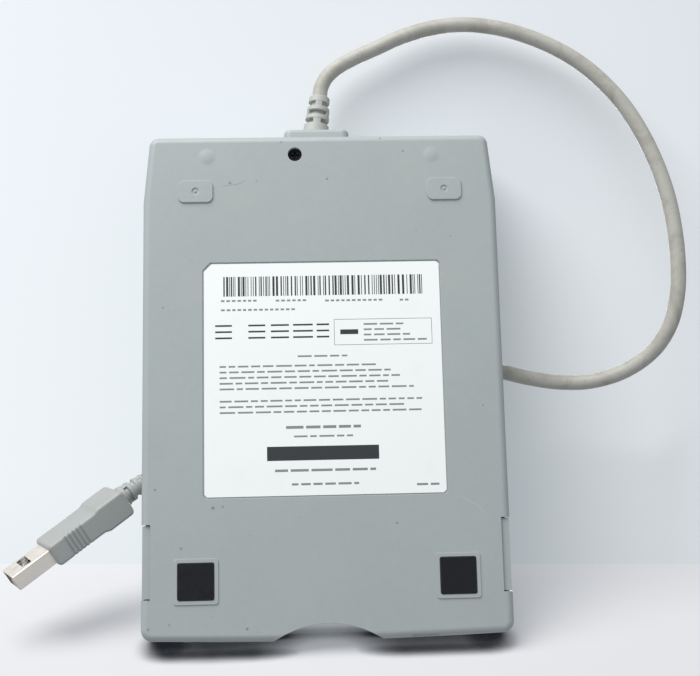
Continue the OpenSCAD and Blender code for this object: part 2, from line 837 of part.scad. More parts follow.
// Two bent lugs of the chassis hold the cover's screws; all small screws are alike
cover_screw_x = chassis_w / 2 - 4.4;
cover_screw_y = chassis_end_y - 6;
small_screw_r = 0.75;
board_screw_at = [[-22, spindle_y - 17], [22, spindle_y - 17], [-22, spindle_y + 17], [22, spindle_y + 17]];
module small_screw(at, seat) {
    difference() {
        union() {
            bar_z([at[0], at[1], seat], 0.7, 1.7);
            bar_z([at[0], at[1], seat - 1.2], 1.3, small_screw_r);
        }
        box([at[0] - 1.1, at[1] - 0.2, seat + 0.4], [at[0] + 1.1, at[1] + 0.2, seat + 1]);
        box([at[0] - 0.2, at[1] - 1.1, seat + 0.4], [at[0] + 0.2, at[1] + 1.1, seat + 1]);
    }
}

module small_screws() {
    color("#8f9295") from_front() {
        for (at = board_screw_at)
            small_screw(at, deck_z + board_t);
        for (x = [-1, 1]) {
            small_screw([x * usb_post_x, usb_post_y], usb_board_z + board_t);
            small_screw([x * cover_screw_x, cover_screw_y], cover_z + thin_sheet);
        }
    }
}

module drive_screws() {
    color("#8f9295") from_front() both_sides() difference() {
        union() {
            bar_z([ear_at[0], ear_at[1], ear_z + sheet], 1.4, 2.4);
            bar_z([ear_at[0], ear_at[1], floor_z + 0.4], ear_z + sheet - floor_z - 0.3, 1.2);
        }
        for (a = [0, 90])
            translate([ear_at[0], ear_at[1], ear_z + sheet + 0.8]) rotate([0, 0, a])
                box([-1.6, -0.3, 0], [1.6, 0.3, 2]);
    }
}

// ---- disk cage and eject parts ----

flange_in = 4.5;
window_half = 10.5;
module disk_cage() {
    w = cage_out_w / 2;
    color("#cfd1d3") from_front() difference() {
        union() {
            box([-w, cage_y, cage_top_z - thin_sheet], [w, disk_end_y, cage_top_z]);
            both_sides() {
                box([w - thin_sheet, cage_y, cage_z], [w, disk_end_y, cage_top_z]);
                box([w - flange_in, cage_y, cage_z], [w, disk_end_y, cage_z + thin_sheet]);
            }
            box([-window_half - 4, disk_end_y - 1, cage_top_z - thin_sheet],
                [-window_half, arm_wing_y + 4, cage_top_z]);
        }
        box([-window_half, head_y - head_travel - 5, cage_z], [window_half, disk_end_y + 20, cover_z]);
        translate([lever_at[0], lever_at[1], cage_top_z - 1])
            rotate([0, 0, lever_angle - lever_swing - 5])
                rotate_extrude(angle = lever_swing + 10)
                    translate([lever_l - 1.6, 0]) square([3.2, 2]);
        bar_z([lever_at[0], lever_at[1], cage_top_z - 1], 2, lever_pin_r + pin_gap);
        box([lever_spring_x - 1.1, lever_spring_y - 0.4, cage_top_z - 1],
            [lever_spring_x + 1.1, lever_spring_y + lever_spring_l + 0.6, cage_top_z + 1]);
        bar_z([0, spindle_y, cage_top_z - 1], 2, 12);
        for (x = [-1, 1], y = [spindle_y - 25.5, spindle_y + 12.5])
            bar_z([x * 30, y, cage_top_z - 1], 2, 5);
        for (y = cage_pin_ys)
            bar_x([-half_w, y, cage_pin_z], body_w, cage_pin_r);
    }
}

module cage_pins() {
    color(steel) from_front()
        for (y = cage_pin_ys)
            both_sides() bar_x([cage_out_w / 2 - thin_sheet, y, cage_pin_z],
                chassis_w / 2 - cage_out_w / 2 + thin_sheet - 0.2, cage_pin_r);
}

// Cam slot: pin at its upper front end at rest, at its lower rear end with a disk in
module cam_slot(y) {
    r = cage_pin_r + 0.1;
    run = norm([eject_travel, cage_drop]);
    for (s = [0, 1])
        bar_x([rail_x - 1, y + s * eject_travel, cage_pin_z - s * cage_drop], rail_t + 2, r);
    translate([rail_x - 1, y, cage_pin_z]) rotate([-atan2(cage_drop, eject_travel), 0, 0])
        box([0, 0, -r], [rail_t + 2, run, r]);
}

slider_plate_l = 8;
slider_plate_y = board_y - slider_plate_l - 0.45;
module eject_slider() {
    color("#c4c8cb") from_front() difference() {
        union() {
            both_sides() box([rail_x, cage_y + 5, slider_z],
                [rail_x + rail_t, cage_pin_ys[1] + eject_travel + 4, cage_pin_z + 1.6]);
            box([-rail_x - rail_t, slider_plate_y, slider_z],
                [rail_x + rail_t, slider_plate_y + slider_plate_l, slider_z + slider_t]);
            both_sides() box([spring_x - 2.2, slider_plate_y + slider_plate_l - 0.8, slider_z],
                [spring_x + 2.2, slider_plate_y + slider_plate_l, spring_z + 1.6]);
            box([button_x - tab_w / 2, bezel_set_back + 0.7, button_z + 0.1],
                [button_x + tab_w / 2, slider_plate_y + 1, button_z + 0.9]);
        }
        for (y = cage_pin_ys)
            both_sides() cam_slot(y);
        for (x = [-20, 0, 20])
            bar_z([x, slider_plate_y + slider_plate_l / 2, 0], 9, 2.4);
    }
}

spring_x = chassis_in_w / 2 - 11.2;
spring_z = deck_z + 2;
spring_back_y = slider_plate_y + slider_plate_l + 16;
module eject_springs() {
    color(steel) from_front() both_sides()
        translate([spring_x, slider_plate_y + slider_plate_l + 0.5, spring_z])
            rotate([-90, 0, 0]) coil(1.35, 0.24, 10, 15);
}

lever_z = cage_top_z + 0.1;
lever_tail = 6;
module shutter_lever() {
    color("#dfe1e2") from_front() translate([lever_at[0], lever_at[1], lever_z]) difference() {
        union() {
            cylinder(h = lever_t, r = 3.2);
            rotate([0, 0, lever_angle]) {
                box([0, -1.7, 0], [lever_l, 1.7, lever_t]);
                bar_z([lever_l, 0, -1.4], lever_t + 1.4, 1.1);
                bar_z([lever_l, 0, 0], lever_t, 1.7);
                box([-lever_tail, -1.2, 0], [0, 1.2, lever_t]);
            }
        }
        bar_z([0, 0, -1], 3, lever_pin_r + pin_gap);
    }
}

module lever_pin() {
    color(steel) from_front() {
        bar_z([lever_at[0], lever_at[1], cage_top_z - thin_sheet], thin_sheet + 0.1 + lever_t + 0.05,
            lever_pin_r);
        bar_z([lever_at[0], lever_at[1], lever_z + lever_t + 0.04], 0.2, 1.5);
    }
}

// Spring that pulls the lever's tail back
lever_spring_x = lever_at[0] + 5;
lever_spring_y = lever_at[1] + 5.2;
lever_spring_l = 10;
module lever_spring() {
    color(steel) from_front() {
        translate([lever_spring_x, lever_spring_y, cage_top_z + 0.1]) rotate([-90, 0, 0])
            coil(0.52, 0.14, 12, lever_spring_l);
    }
}

// ---- spindle motor ----

motor_board_w = 2 * (rotor_r + 4.5);
module motor_board() {
    color(board_green) from_front() difference() {
        box([-motor_board_w / 2, board_y, deck_z],
            [motor_board_w / 2, spindle_y + rotor_r - 0.5, deck_z + board_t]);
        bar_z([0, spindle_y, 0], 20, bearing_r + 2 * seat_gap);
        for (at = board_screw_at)
            bar_z([at[0], at[1], 0], 20, 0.9);
    }
}

teeth = 9;
tooth_in_r = 8;
tooth_out_r = rotor_r - 2.9;
stator_z = deck_z + board_t + 0.4;
module stator_core() {
    color("#7c8084") from_front() translate([0, spindle_y, stator_z]) difference() {
        union() {
            cylinder(h = 1.1, r = tooth_in_r);
            for (i = [0:teeth - 1])
                rotate([0, 0, 360 * i / teeth]) {
                    box([tooth_in_r - 1, -1, 0], [tooth_out_r - 1, 1, 1.1]);
                    intersection() {
                        box([tooth_out_r - 2, -4.6, 0], [tooth_out_r + 1, 4.6, 1.1]);
                        difference() {
                            translate([0, 0, -1]) cylinder(h = 3, r = tooth_out_r);
                            translate([0, 0, -1]) cylinder(h = 3, r = tooth_out_r - 1.2);
                        }
                    }
                }
        }
        translate([0, 0, -1]) cylinder(h = 3, r = bearing_r);
    }
}

module stator_coils() {
    color("#b8692f") from_front() translate([0, spindle_y, stator_z])
        for (i = [0:teeth - 1])
            rotate([0, 0, 360 * i / teeth]) difference() {
                box([tooth_in_r + 0.8, -2, -0.35], [tooth_out_r - 1.8, 2, 1.45]);
                box([tooth_in_r, -1, 0], [tooth_out_r, 1, 1.1]);
            }
}

bearing_r = 4;
module spindle_bearing() {
    color("#b08d4f") from_front() translate([0, spindle_y, deck_z]) difference() {
        union() {
            cylinder(h = rotor_top_z - deck_z - 0.9, r = bearing_r);
            cylinder(h = 0.2, r = 4.2);
        }
        translate([0, 0, 0.3]) cylinder(h = 9, r = shaft_r + pin_gap);
    }
}

module rotor_cup() {
    color("#c2c5c8") from_front() translate([0, spindle_y, rotor_z]) difference() {
        cylinder(h = rotor_h, r = rotor_r, $fn = 96);
        translate([0, 0, -1]) cylinder(h = rotor_h + 0.5, r = rotor_r - 0.8, $fn = 96);
        translate([0, 0, -1]) cylinder(h = 9, r = shaft_r);
        for (i = [0:2])
            rotate([0, 0, 120 * i]) translate([16, 0, -1]) cylinder(h = 9, r = 1.6);
    }
}

module rotor_magnet() {
    color("#3b3d40") from_front() translate([0, spindle_y, rotor_z + 0.1]) difference() {
        cylinder(h = rotor_h - 0.6, r = rotor_r - 0.8, $fn = 96);
        translate([0, 0, -1]) cylinder(h = 9, r = rotor_r - 2.4, $fn = 96);
    }
}

module spindle_shaft() {
    color("#dadcde") from_front() {
        bar_z([0, spindle_y, deck_z + 0.5], hub_top_z + 1.2 - deck_z - 0.5, shaft_r);
        translate([0, spindle_y, hub_top_z + 1.2]) cylinder(h = 0.5, r1 = shaft_r, r2 = shaft_r - 0.5);
    }
}

module chucking_hub() {
    color("#3f4145") from_front() translate([0, spindle_y, rotor_top_z]) difference() {
        cylinder(h = hub_h, r = 12.5);
        translate([0, 0, -1]) cylinder(h = 9, r = shaft_r);
        translate([10, 0, -1]) cylinder(h = 9, r = 1);
    }
}

module drive_pin() {
    color("#dadcde") from_front()
        bar_z([10, spindle_y, rotor_top_z], hub_h + 1.1, 1);
}

// ---- heads ----

rod_bush_r = 2;
bush_x = rod_x + rod_bush_r;
module head_carriage() {
    pin_y = follower_y;
    color("#2f3235") from_front() difference() {
        union() {
            box([-5, head_y - 2.5, carriage_top_z - 1.4], [5, head_y + 4, carriage_top_z]);
            box([-bush_x, head_y + 2, carriage_z], [bush_x, head_y + 7, carriage_top_z]);
            box([-6, head_y + 6, carriage_z], [6, tower_end_y, carriage_top_z]);
            box([-bush_x, tower_y + 1, carriage_z], [bush_x, tower_end_y, carriage_top_z]);
            box([-6, tower_y, carriage_z], [6, tower_end_y, arm_pivot_z - 2]);
            both_sides() box([4.8, tower_y, carriage_z], [6.4, arm_pivot_y + 1.6, arm_pivot_z + 0.7]);
            box([5, pin_y - 1.5, carriage_z + 0.2], [screw_x - 4, pin_y + 1.5, carriage_top_z]);
        }
        both_sides() bar_y([rod_x, head_y - 9, rod_z], 60, rod_r + pin_gap);
        bar_x([-9, arm_pivot_y, arm_pivot_z], 18, arm_pivot_r);
        bar_x([screw_x - 8, pin_y, screw_z], 9, 0.5);
    }
}

module lower_head() {
    color("#7b6f5c") from_front()
        box([-1.5, head_y - 2, carriage_top_z], [1.5, head_y + 2, head_tip_z]);
}

module upper_head() {
    color("#7b6f5c") from_front()
        box([-1.5, head_y - 2, cage_in_z + cage_in_h - 0.2], [1.5, head_y + 2, arm_z]);
}

arm_wing_y = arm_pivot_y - 15;
module upper_head_arm() {
    color("#caa86a") from_front() difference() {
        union() {
            box([-3.8, head_y - 3.5, arm_z], [3.8, arm_wing_y, arm_z + arm_t]);
            box([-4.5, arm_wing_y - 2, arm_z], [4.5, arm_pivot_y + 0.8, arm_z + arm_t]);
            box([-window_half - 3, arm_wing_y, arm_z], [-4, arm_wing_y + 2, arm_z + arm_t]);
            bar_x([-4.5, arm_pivot_y, arm_pivot_z], 9, 1.4);
            box([-4.5, arm_pivot_y - 1, arm_pivot_z], [4.5, arm_pivot_y + 0.8, arm_z + 0.1]);
        }
        bar_x([-9, arm_pivot_y, arm_pivot_z], 18, arm_pivot_r + pin_gap);
    }
}

module arm_pivot() {
    color(steel) from_front() bar_x([-6.4, arm_pivot_y, arm_pivot_z], 12.8, arm_pivot_r);
}

module arm_spring() {
    color("#d8b878") from_front()
        box([-2, arm_wing_y - 6, arm_z + arm_t], [2, arm_pivot_y - 2, arm_z + arm_t + 0.12]);
}

module guide_rods() {
    color("#dadcde") from_front() both_sides()
        bar_y([rod_x, rod_start_y, rod_z], chassis_end_y - sheet - rod_start_y, rod_r);
}

module rod_clamps() {
    color("#8f9295") from_front() both_sides() difference() {
        box([rod_x - 2, rod_start_y, deck_z], [rod_x + 3.4, rod_start_y + 2.2, rod_z + rod_r + 0.5]);
        bar_y([rod_x, rod_start_y - 1, rod_z], 9, rod_r);
    }
}

module follower_pin() {
    color(steel) from_front()
        bar_x([screw_x - 8, follower_y, screw_z], 8 - thread_r - 0.05, 0.5);
}

bracket_w = 7;
bracket_t = 0.8;
module stepper_motor() {
    color("#a9adb0") from_front() translate([screw_x, screw_end_y + 0.8, screw_z]) {
        intersection() {
            bar_y([0, 0, 0], 10, stepper_w / 2);
            box([-stepper_w, -1, -3.5], [stepper_w, 11, 3.5]);
        }
        bar_y([0, 10, 0], 0.5, 2);
    }
}

module stepper_bracket() {
    x = [screw_x - bracket_w / 2, screw_x + bracket_w / 2];
    color("#c4c8cb") from_front() difference() {
        union() {
            box([x[0], screw_start_y, deck_z], [x[1], screw_end_y + 0.8, deck_z + bracket_t]);
            box([x[0], screw_start_y, deck_z], [x[1], screw_start_y + bracket_t, disk_low_z - 0.3]);
            box([screw_x - stepper_w / 2, screw_end_y, deck_z],
                [screw_x + stepper_w / 2, screw_end_y + 0.8, screw_z + 3.5]);
        }
        bar_y([screw_x, screw_start_y - 1, screw_z], 3, screw_core_r + pin_gap);
        bar_y([screw_x, screw_end_y - 1, screw_z], 3, screw_core_r + pin_gap);
    }
}

module lead_screw() {
    thread_l = screw_end_y - screw_start_y - bracket_t - 1.2;
    color("#dadcde") from_front() {
        bar_y([screw_x, screw_start_y, screw_z], screw_end_y + 0.8 - screw_start_y, screw_core_r);
        translate([screw_x, screw_start_y + bracket_t + 0.6, screw_z]) rotate([-90, 0, 0])
            coil(screw_core_r, 0.3, thread_l / screw_lead, thread_l, 12);
    }
}

// ---- switches and boards ----

module track_switch() {
    color("#26282b") from_front() {
        box([-bush_x - 0.6, chassis_end_y - sheet - 3, carriage_top_z + 0.6],
            [-bush_x + 3.2, chassis_end_y - sheet, carriage_top_z + 3.4]);
        box([-bush_x + 0.4, chassis_end_y - sheet - 3.4, carriage_top_z + 1.4],
            [-bush_x + 1.6, chassis_end_y - sheet - 3, carriage_top_z + 2.6]);
    }
}

module disk_switches() {
    color("#26282b") from_front()
        for (x = [5.7 - chassis_in_w / 2, 9.7 - chassis_in_w / 2, chassis_in_w / 2 - 6.7]) {
            box([x - 1.6, chassis_y + 1.2, deck_z], [x + 1.6, chassis_y + 5.2, deck_z + 2.4]);
            bar_z([x, chassis_y + 3.2, deck_z + 2.4], 0.8, 0.6);
        }
}

board_z = deck_z + 0.8;
board_x = [3.2 - chassis_in_w / 2, -bush_x - 3];
board_ys = [spindle_y + rotor_r + 8, chassis_end_y - 4];
module logic_board() {
    color(board_green) from_front() {
        box([board_x[0], board_ys[0], board_z], [board_x[1], board_ys[1], board_z + board_t]);
        for (x = [board_x[0] + 2.5, board_x[1] - 2.5], y = [board_ys[0] + 2.5, board_ys[1] - 2.5])
            bar_z([x, y, deck_z], board_z - deck_z, 1.6);
    }
}

module logic_chips() {
    z = board_z + board_t;
    color("#26282b") from_front() {
        translate([board_x[1], board_ys[0], z]) {
            box([-23, 8, 0], [-13, 18, 1.2]);
            box([-9, 6, 0], [-3, 10, 1]);
            box([-9, 14, 0], [-5, 20, 1]);
        }
        translate([board_x[0], 0, 0]) {
            for (i = [0:4])
                box([2 + 4 * i, board_ys[0] + 2, z], [3.6 + 4 * i, board_ys[0] + 2.9, z + 0.5]);
            difference() {
                box([5, board_ys[1] - 5, z], [23, board_ys[1] - 1, z + 1.6]);
                box([5.8, board_ys[1] - 3.6, z + 0.5], [22.2, board_ys[1], z + 0.9]);
            }
        }
    }
}

module usb_board() {
    color(board_green) from_front() difference() {
        box([-usb_board_w / 2, usb_board_y, usb_board_z],
            [usb_board_w / 2, usb_board_y + usb_board_l, usb_board_z + board_t]);
        bar_z([case_screw_at[0], case_screw_at[1], 0], 20, boss_r + 0.4);
        box([case_screw_at[0] - boss_r - 0.4, case_screw_at[1], 0],
            [case_screw_at[0] + boss_r + 0.4, body_l, 20]);
        for (x = [-1, 1])
            bar_z([x * usb_post_x, usb_post_y, 0], 20, 0.9);
    }
}

module usb_chips() {
    z = usb_board_z + board_t;
    color("#26282b") from_front() {
        box([usb_post_x - 11, usb_board_y + 3, z], [usb_post_x - 4, usb_board_y + 10, z + 1.4]);
        bar_z([usb_board_w / 2 - 4.2, usb_board_y + 3.4, z], 4.4, 2);
        for (i = [0:4])
            box([6 + 3 * i - usb_post_x, usb_board_y + 10.2, z],
                [7.6 + 3 * i - usb_post_x, usb_board_y + 11.1, z + 0.5]);
        difference() {
            box([board_x[0] + 11.2, usb_board_y + 1, z], [board_x[0] + 23, usb_board_y + 5, z + 1.8]);
            box([board_x[0] + 11.8, usb_board_y, board_z + board_t + 0.45],
                [board_x[0] + 22.2, usb_board_y + 4, board_z + board_t + 1.15]);
        }
        translate([3, usb_board_y + 3.2, z]) rounded_box([8, 3.4, 3], 1.6);
    }
}

module cable_socket() {
    z = usb_board_z + board_t;
    color("#e9e6d8") from_front() difference() {
        box([-14, usb_board_y + 1.2, z], [-5, usb_board_y + 5.6, z + 4]);
        for (i = [0:3])
            box([-13.1 + 2.1 * i, usb_board_y + 3, z + 1], [-11.9 + 2.1 * i, usb_board_y + 9, z + 2.8]);
    }
}

// Four inner wires of the lead, side by side from the strain relief to the socket
module cable_wires() {
    z = usb_board_z + board_t + 1.9;
    color("#a33b34") from_front()
        for (i = [0:3])
            let (x = gland_x + 1.65 - 1.1 * i, far_x = -6.2 - 2.1 * i)
            tube([
                [x, neck_y, split_z],
                [x, neck_y - 1.5 - 0.5 * i, split_z],
                [(2 * x + far_x) / 3, neck_y - 3.2 - 0.8 * i, split_z - 0.2],
                [(x + 2 * far_x) / 3, neck_y - 5 - 0.5 * i, z + 0.4],
                [far_x, neck_y - 6.6, z],
                [far_x, usb_board_y + 3.2, z]
            ], 0.42, 6);
}

module flat_cable() {
    z = board_z + board_t + 0.7;
    color("#e4e2d6") from_front() {
        box([board_x[0] + 12.2, board_ys[1] - 3.4, z - 0.1],
            [board_x[0] + 22, usb_board_y + 3.8, z + 0.1]);
    }
}

// ---- lead ----

// The strain relief from its base ring on, drawn along +Y
module at_relief() {
    translate([gland_x, body_l + collar_out + relief_ring_l, split_z]) rotate([0, 0, relief_lean])
        children();
}

// Grooves around the strain relief, in turn on two sides and on the other two
relief_rows = 3;
relief_pitch = 2.8;
relief_slot_l = 1.35;
relief_core_r = 2.4;
module relief_slots() {
    at_relief() for (row = [0:relief_rows - 1])
        let (y = relief_l - relief_ring_l - 3.4 - relief_pitch * row, front = row % 2 == 1)
            difference() {
                for (s = [-1, 1])
                    if (front)
                        translate([0, y, s * 3.4]) box([-5, 0, -1.4], [5, relief_slot_l, 1.4]);
                    else
                        translate([s * 3, y, 0]) box([-2, 0, -5], [2, relief_slot_l, 5]);
                bar_y([0, y - 1, 0], relief_slot_l + 2, relief_core_r);
            }
}

module cable_gland() {
    color(cord_grey) from_front() difference() {
        union() {
            box([gland_x - flange_w / 2, flange_y, split_z - flange_h / 2],
                [gland_x + flange_w / 2, flange_y + flange_t, split_z + flange_h / 2]);
            bar_y([gland_x, neck_y, split_z], body_l + collar_out + 0.2 - neck_y, relief_neck_r);
            bar_y([gland_x, body_l + collar_out + 0.1, split_z], 1.9, relief_base_r);
            at_relief() rotate([-90, 0, 0])
                cylinder(h = relief_l - relief_ring_l, r1 = relief_base_r - 0.1, r2 = relief_tip_r);
        }
        relief_slots();
    }
}

module cable() {
    color(cord_grey) tube(cord_route, cord_d / 2, 12);
}

// ---- plug, drawn along +X from its tail end ----

module at_plug() {
    translate(plug_tail_at) rotate(plug_turn) children();
}

grip_x = tail_l;
shell_x = tail_l + grip_l;
module plug_body() {
    ribs = 5;
    color(case_grey) at_plug() difference() {
        union() {
            rotate([0, 90, 0]) cylinder(h = tail_l, r1 = cord_d / 2 + 0.3, r2 = cord_d / 2 + 1.2);
            grip_slab(grip_x + 0.6, grip_rear_l - 0.6, grip_w, grip_t);
            grip_slab(grip_x, 1, grip_w - 1.2, grip_t - 1.2);
            hull() {
                grip_slab(grip_x + grip_rear_l - 0.1, 0.1, grip_w, grip_t);
                grip_slab(grip_x + grip_rear_l + grip_ramp_l, 0.1, grip_w, grip_front_t);
            }
            grip_slab(grip_x + grip_rear_l + grip_ramp_l, grip_l - grip_rear_l - grip_ramp_l, grip_w,
                grip_front_t);
        }
        for (i = [0:ribs - 1], s = [-1, 1])
            box([shell_x - 5.6 - 1.3 * i, -grip_t, s * (grip_w / 2 + 0.4) - 0.7],
                [shell_x - 5 - 1.3 * i, grip_t, s * (grip_w / 2 + 0.4) + 0.7]);
        for (i = [0:2], s = [-1, 1])
            if (i == 1)
                box([0.9 + 2.3 * i, s * 3.1 - 1, -5], [2 + 2.3 * i, s * 3.1 + 1, 5]);
            else
                box([0.9 + 2.3 * i, -5, s * 3.1 - 1], [2 + 2.3 * i, 5, s * 3.1 + 1]);
        box([shell_x - 3, -shell_t / 2 - 0.02, -shell_w / 2 - 0.02],
            [shell_x + 1, shell_t / 2 + 0.02, shell_w / 2 + 0.02]);
    }
}

// Stretch of the grip from x on, with its long edges rounded
grip_ramp_l = 1.8;
module grip_slab(x, l, w, t) {
    r = 1.2;
    translate([x, 0, 0]) rotate([0, 90, 0]) linear_extrude(l) {
        square([w - 2 * r, t], center = true);
        square([w, t - 2 * r], center = true);
        for (u = [-1, 1], v = [-1, 1])
            translate([u * (w / 2 - r), v * (t / 2 - r)]) circle(r);
    }
}

module plug_shell() {
    color("#bdb6ae") at_plug() difference() {
        box([shell_x - 3, -shell_t / 2, -shell_w / 2], [shell_x + shell_l, shell_t / 2, shell_w / 2]);
        box([shell_x - 2.6, -shell_t / 2 + shell_sheet, -shell_w / 2 + shell_sheet],
            [shell_x + shell_l + 1, shell_t / 2 - shell_sheet, shell_w / 2 - shell_sheet]);
        for (s = [-1, 1])
            box([shell_x + 5.2, -shell_t, s * 2.9 - 1.2], [shell_x + 7.6, shell_t, s * 2.9 + 1.2]);
    }
}

module plug_insulator() {
    inner_t = shell_t / 2 - shell_sheet;
    color("#e8e8e4") at_plug()
        box([shell_x - 2.6, 0, -shell_w / 2 + shell_sheet + 0.02],
            [shell_x + shell_l - 0.6, inner_t - 0.02, shell_w / 2 - shell_sheet - 0.02]);
}

module plug_contacts() {
    color("#c9a54a") at_plug()
        for (i = [0:3])
            box([shell_x + 1.5 + (i % 3 == 0 ? -1 : 0) + 1, -0.2, -3.5 + 2.33 * i - 0.5],
                [shell_x + shell_l - 1.4, 0, -3.5 + 2.33 * i + 0.5]);
}

// ---- nodes ----

bottom_case();
top_case();
front_bezel();
slot_door();
door_pin();
door_spring();
eject_button();
led_lens();
led_lamp();
label_plate();
rubber_foot(-1);  // rubber_foot_left
rubber_foot(1);  // rubber_foot_right
case_screw();
cable_gland();
cable();
cable_wires();
plug_body();
plug_shell();
plug_insulator();
plug_contacts();
drive_chassis();
chassis_cover();
drive_screws();
small_screws();
disk_cage();
cage_pins();
eject_slider();
eject_springs();
shutter_lever();
lever_pin();
lever_spring();
motor_board();
stator_core();
stator_coils();
spindle_bearing();
rotor_cup();
rotor_magnet();
spindle_shaft();
chucking_hub();
drive_pin();
head_carriage();
lower_head();
upper_head();
upper_head_arm();
arm_pivot();
arm_spring();
guide_rods();
rod_clamps();
follower_pin();
stepper_motor();
stepper_bracket();
lead_screw();
track_switch();
disk_switches();
logic_board();
logic_chips();
usb_board();
usb_chips();
cable_socket();
flat_cable();
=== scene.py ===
"""Looks of the external floppy disk drive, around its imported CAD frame. Metres, +Z up, front towards -Y.

The camera looks at the underside of the drive, as it stands on its front edge and leans back. Floor and
wall of that view are made of fine steps that face down only, so they don't show from above. The feet stand
on a table at z = 0.
"""

import json
import math
import random

import bmesh
import bpy
from mathutils import Euler, Matrix, Vector


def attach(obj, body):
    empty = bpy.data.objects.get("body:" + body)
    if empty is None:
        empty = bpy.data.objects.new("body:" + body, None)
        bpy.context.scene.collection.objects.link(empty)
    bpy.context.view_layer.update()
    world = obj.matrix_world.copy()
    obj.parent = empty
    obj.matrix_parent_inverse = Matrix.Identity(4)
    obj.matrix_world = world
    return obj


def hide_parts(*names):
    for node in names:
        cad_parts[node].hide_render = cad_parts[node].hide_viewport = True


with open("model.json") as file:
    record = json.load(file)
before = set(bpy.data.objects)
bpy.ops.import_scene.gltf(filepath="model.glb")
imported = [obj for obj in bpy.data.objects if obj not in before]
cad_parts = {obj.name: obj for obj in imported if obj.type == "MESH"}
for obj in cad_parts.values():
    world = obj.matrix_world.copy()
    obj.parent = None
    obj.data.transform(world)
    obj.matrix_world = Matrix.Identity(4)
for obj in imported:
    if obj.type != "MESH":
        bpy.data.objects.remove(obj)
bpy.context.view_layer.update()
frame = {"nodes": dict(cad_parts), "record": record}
scene = bpy.context.scene
MM = 0.001


# ---------------------------------------------------------------- camera and lead

PICTURE_W = 700
FOCAL_PX = 1100
SENSOR_W = 36
CAMERA_PLACE = Vector((4.2, -39.8, -312.8))
right = Vector((-0.9991, -0.0231, -0.0345)).normalized()
view = Vector((-0.0377, 0.1576, 0.9868)).normalized()
up = right.cross(view).normalized()
right = view.cross(up).normalized()

camera_data = bpy.data.cameras.new("camera")
camera_data.sensor_width = SENSOR_W
camera_data.lens = SENSOR_W * FOCAL_PX / PICTURE_W
camera_data.clip_start = 0.01
camera = bpy.data.objects.new("camera", camera_data)
scene.collection.objects.link(camera)
turn = Matrix((right, up, -view)).transposed()
camera.matrix_world = Matrix.Translation(CAMERA_PLACE * MM) @ turn.to_4x4()
scene.camera = camera

CORD_D = 4.5
PLUG_TAIL = Vector((53.9, -28.7, 20.5))
PLUG_TURN = Euler([math.radians(a) for a in (-23, 17.9, -38.2)], "XYZ")
plug_axis = PLUG_TURN.to_matrix() @ Vector((1, 0, 0))

# Strain relief at the case: it starts at the collar's end and leans with the lead, which leaves its last ring
GLAND = Vector((0.8, 75.7, 9.3))
RELIEF_L, RELIEF_RING, RELIEF_BASE_R, RELIEF_TIP_R = 12, 1.2, 4.0, 3.1
LEAN_RELIEF = math.radians(7)
relief_axis = Vector((-math.sin(LEAN_RELIEF), math.cos(LEAN_RELIEF), 0))
cord_start = GLAND + (RELIEF_L - RELIEF_RING) * relief_axis

# Centre line of the lead: down to the table, round on the -X side, over the case's top edge and to the plug
PLUG_RUN_IN = 4
CORD_ROUTE = [
    tuple(cord_start), (-0.86, 89.2, 9.3), (-1.6, 91.1, 9.2), (-2.7, 92.9, 9), (-4.5, 94.7, 8.8),
    (-7.8, 96.9, 8.3), (-12.3, 99, 7.6), (-17.9, 101.2, 6.8), (-25.5, 104.3, 5.7), (-34.6, 106.6, 4.5),
    (-43.8, 107.3, 3.5), (-52.9, 106.2, 2.8), (-61.9, 103.7, 2.4), (-70.5, 100, 2.3), (-78.5, 95.2, 2.3),
    (-85.8, 88.8, 2.3), (-92.2, 81, 2.3), (-97.3, 72, 2.3), (-101.2, 62.4, 2.3), (-103.9, 52.6, 2.3),
    (-105.3, 42.8, 2.3), (-105.8, 32.4, 2.5), (-105.3, 22.6, 3.4), (-103.3, 13.6, 5.8), (-98.9, 6.3, 9.6),
    (-91, 0.8, 13.6), (-81.7, -1.7, 17.2), (-72.5, -1.6, 19.6), (-63.5, 0, 20.8), (-54, 2.4, 21),
    (-42, 4.8, 20.9), (-28, 5.5, 20.9), (-13, 4.9, 20.9), (2, 2.6, 20.9), (15, -1.8, 21), (27, -8, 21.4),
    (37.5, -15.4, 22.2), (45.3, -21.7, 22.6), tuple(PLUG_TAIL - PLUG_RUN_IN * plug_axis), tuple(PLUG_TAIL),
]


# ---------------------------------------------------------------- materials

def linear(r, g, b):
    """Scene-linear colour from 8-bit screen values."""
    out = []
    for c in (r, g, b):
        c /= 255
        out.append(c / 12.92 if c <= 0.04045 else ((c + 0.055) / 1.055) ** 2.4)
    return (*out, 1)


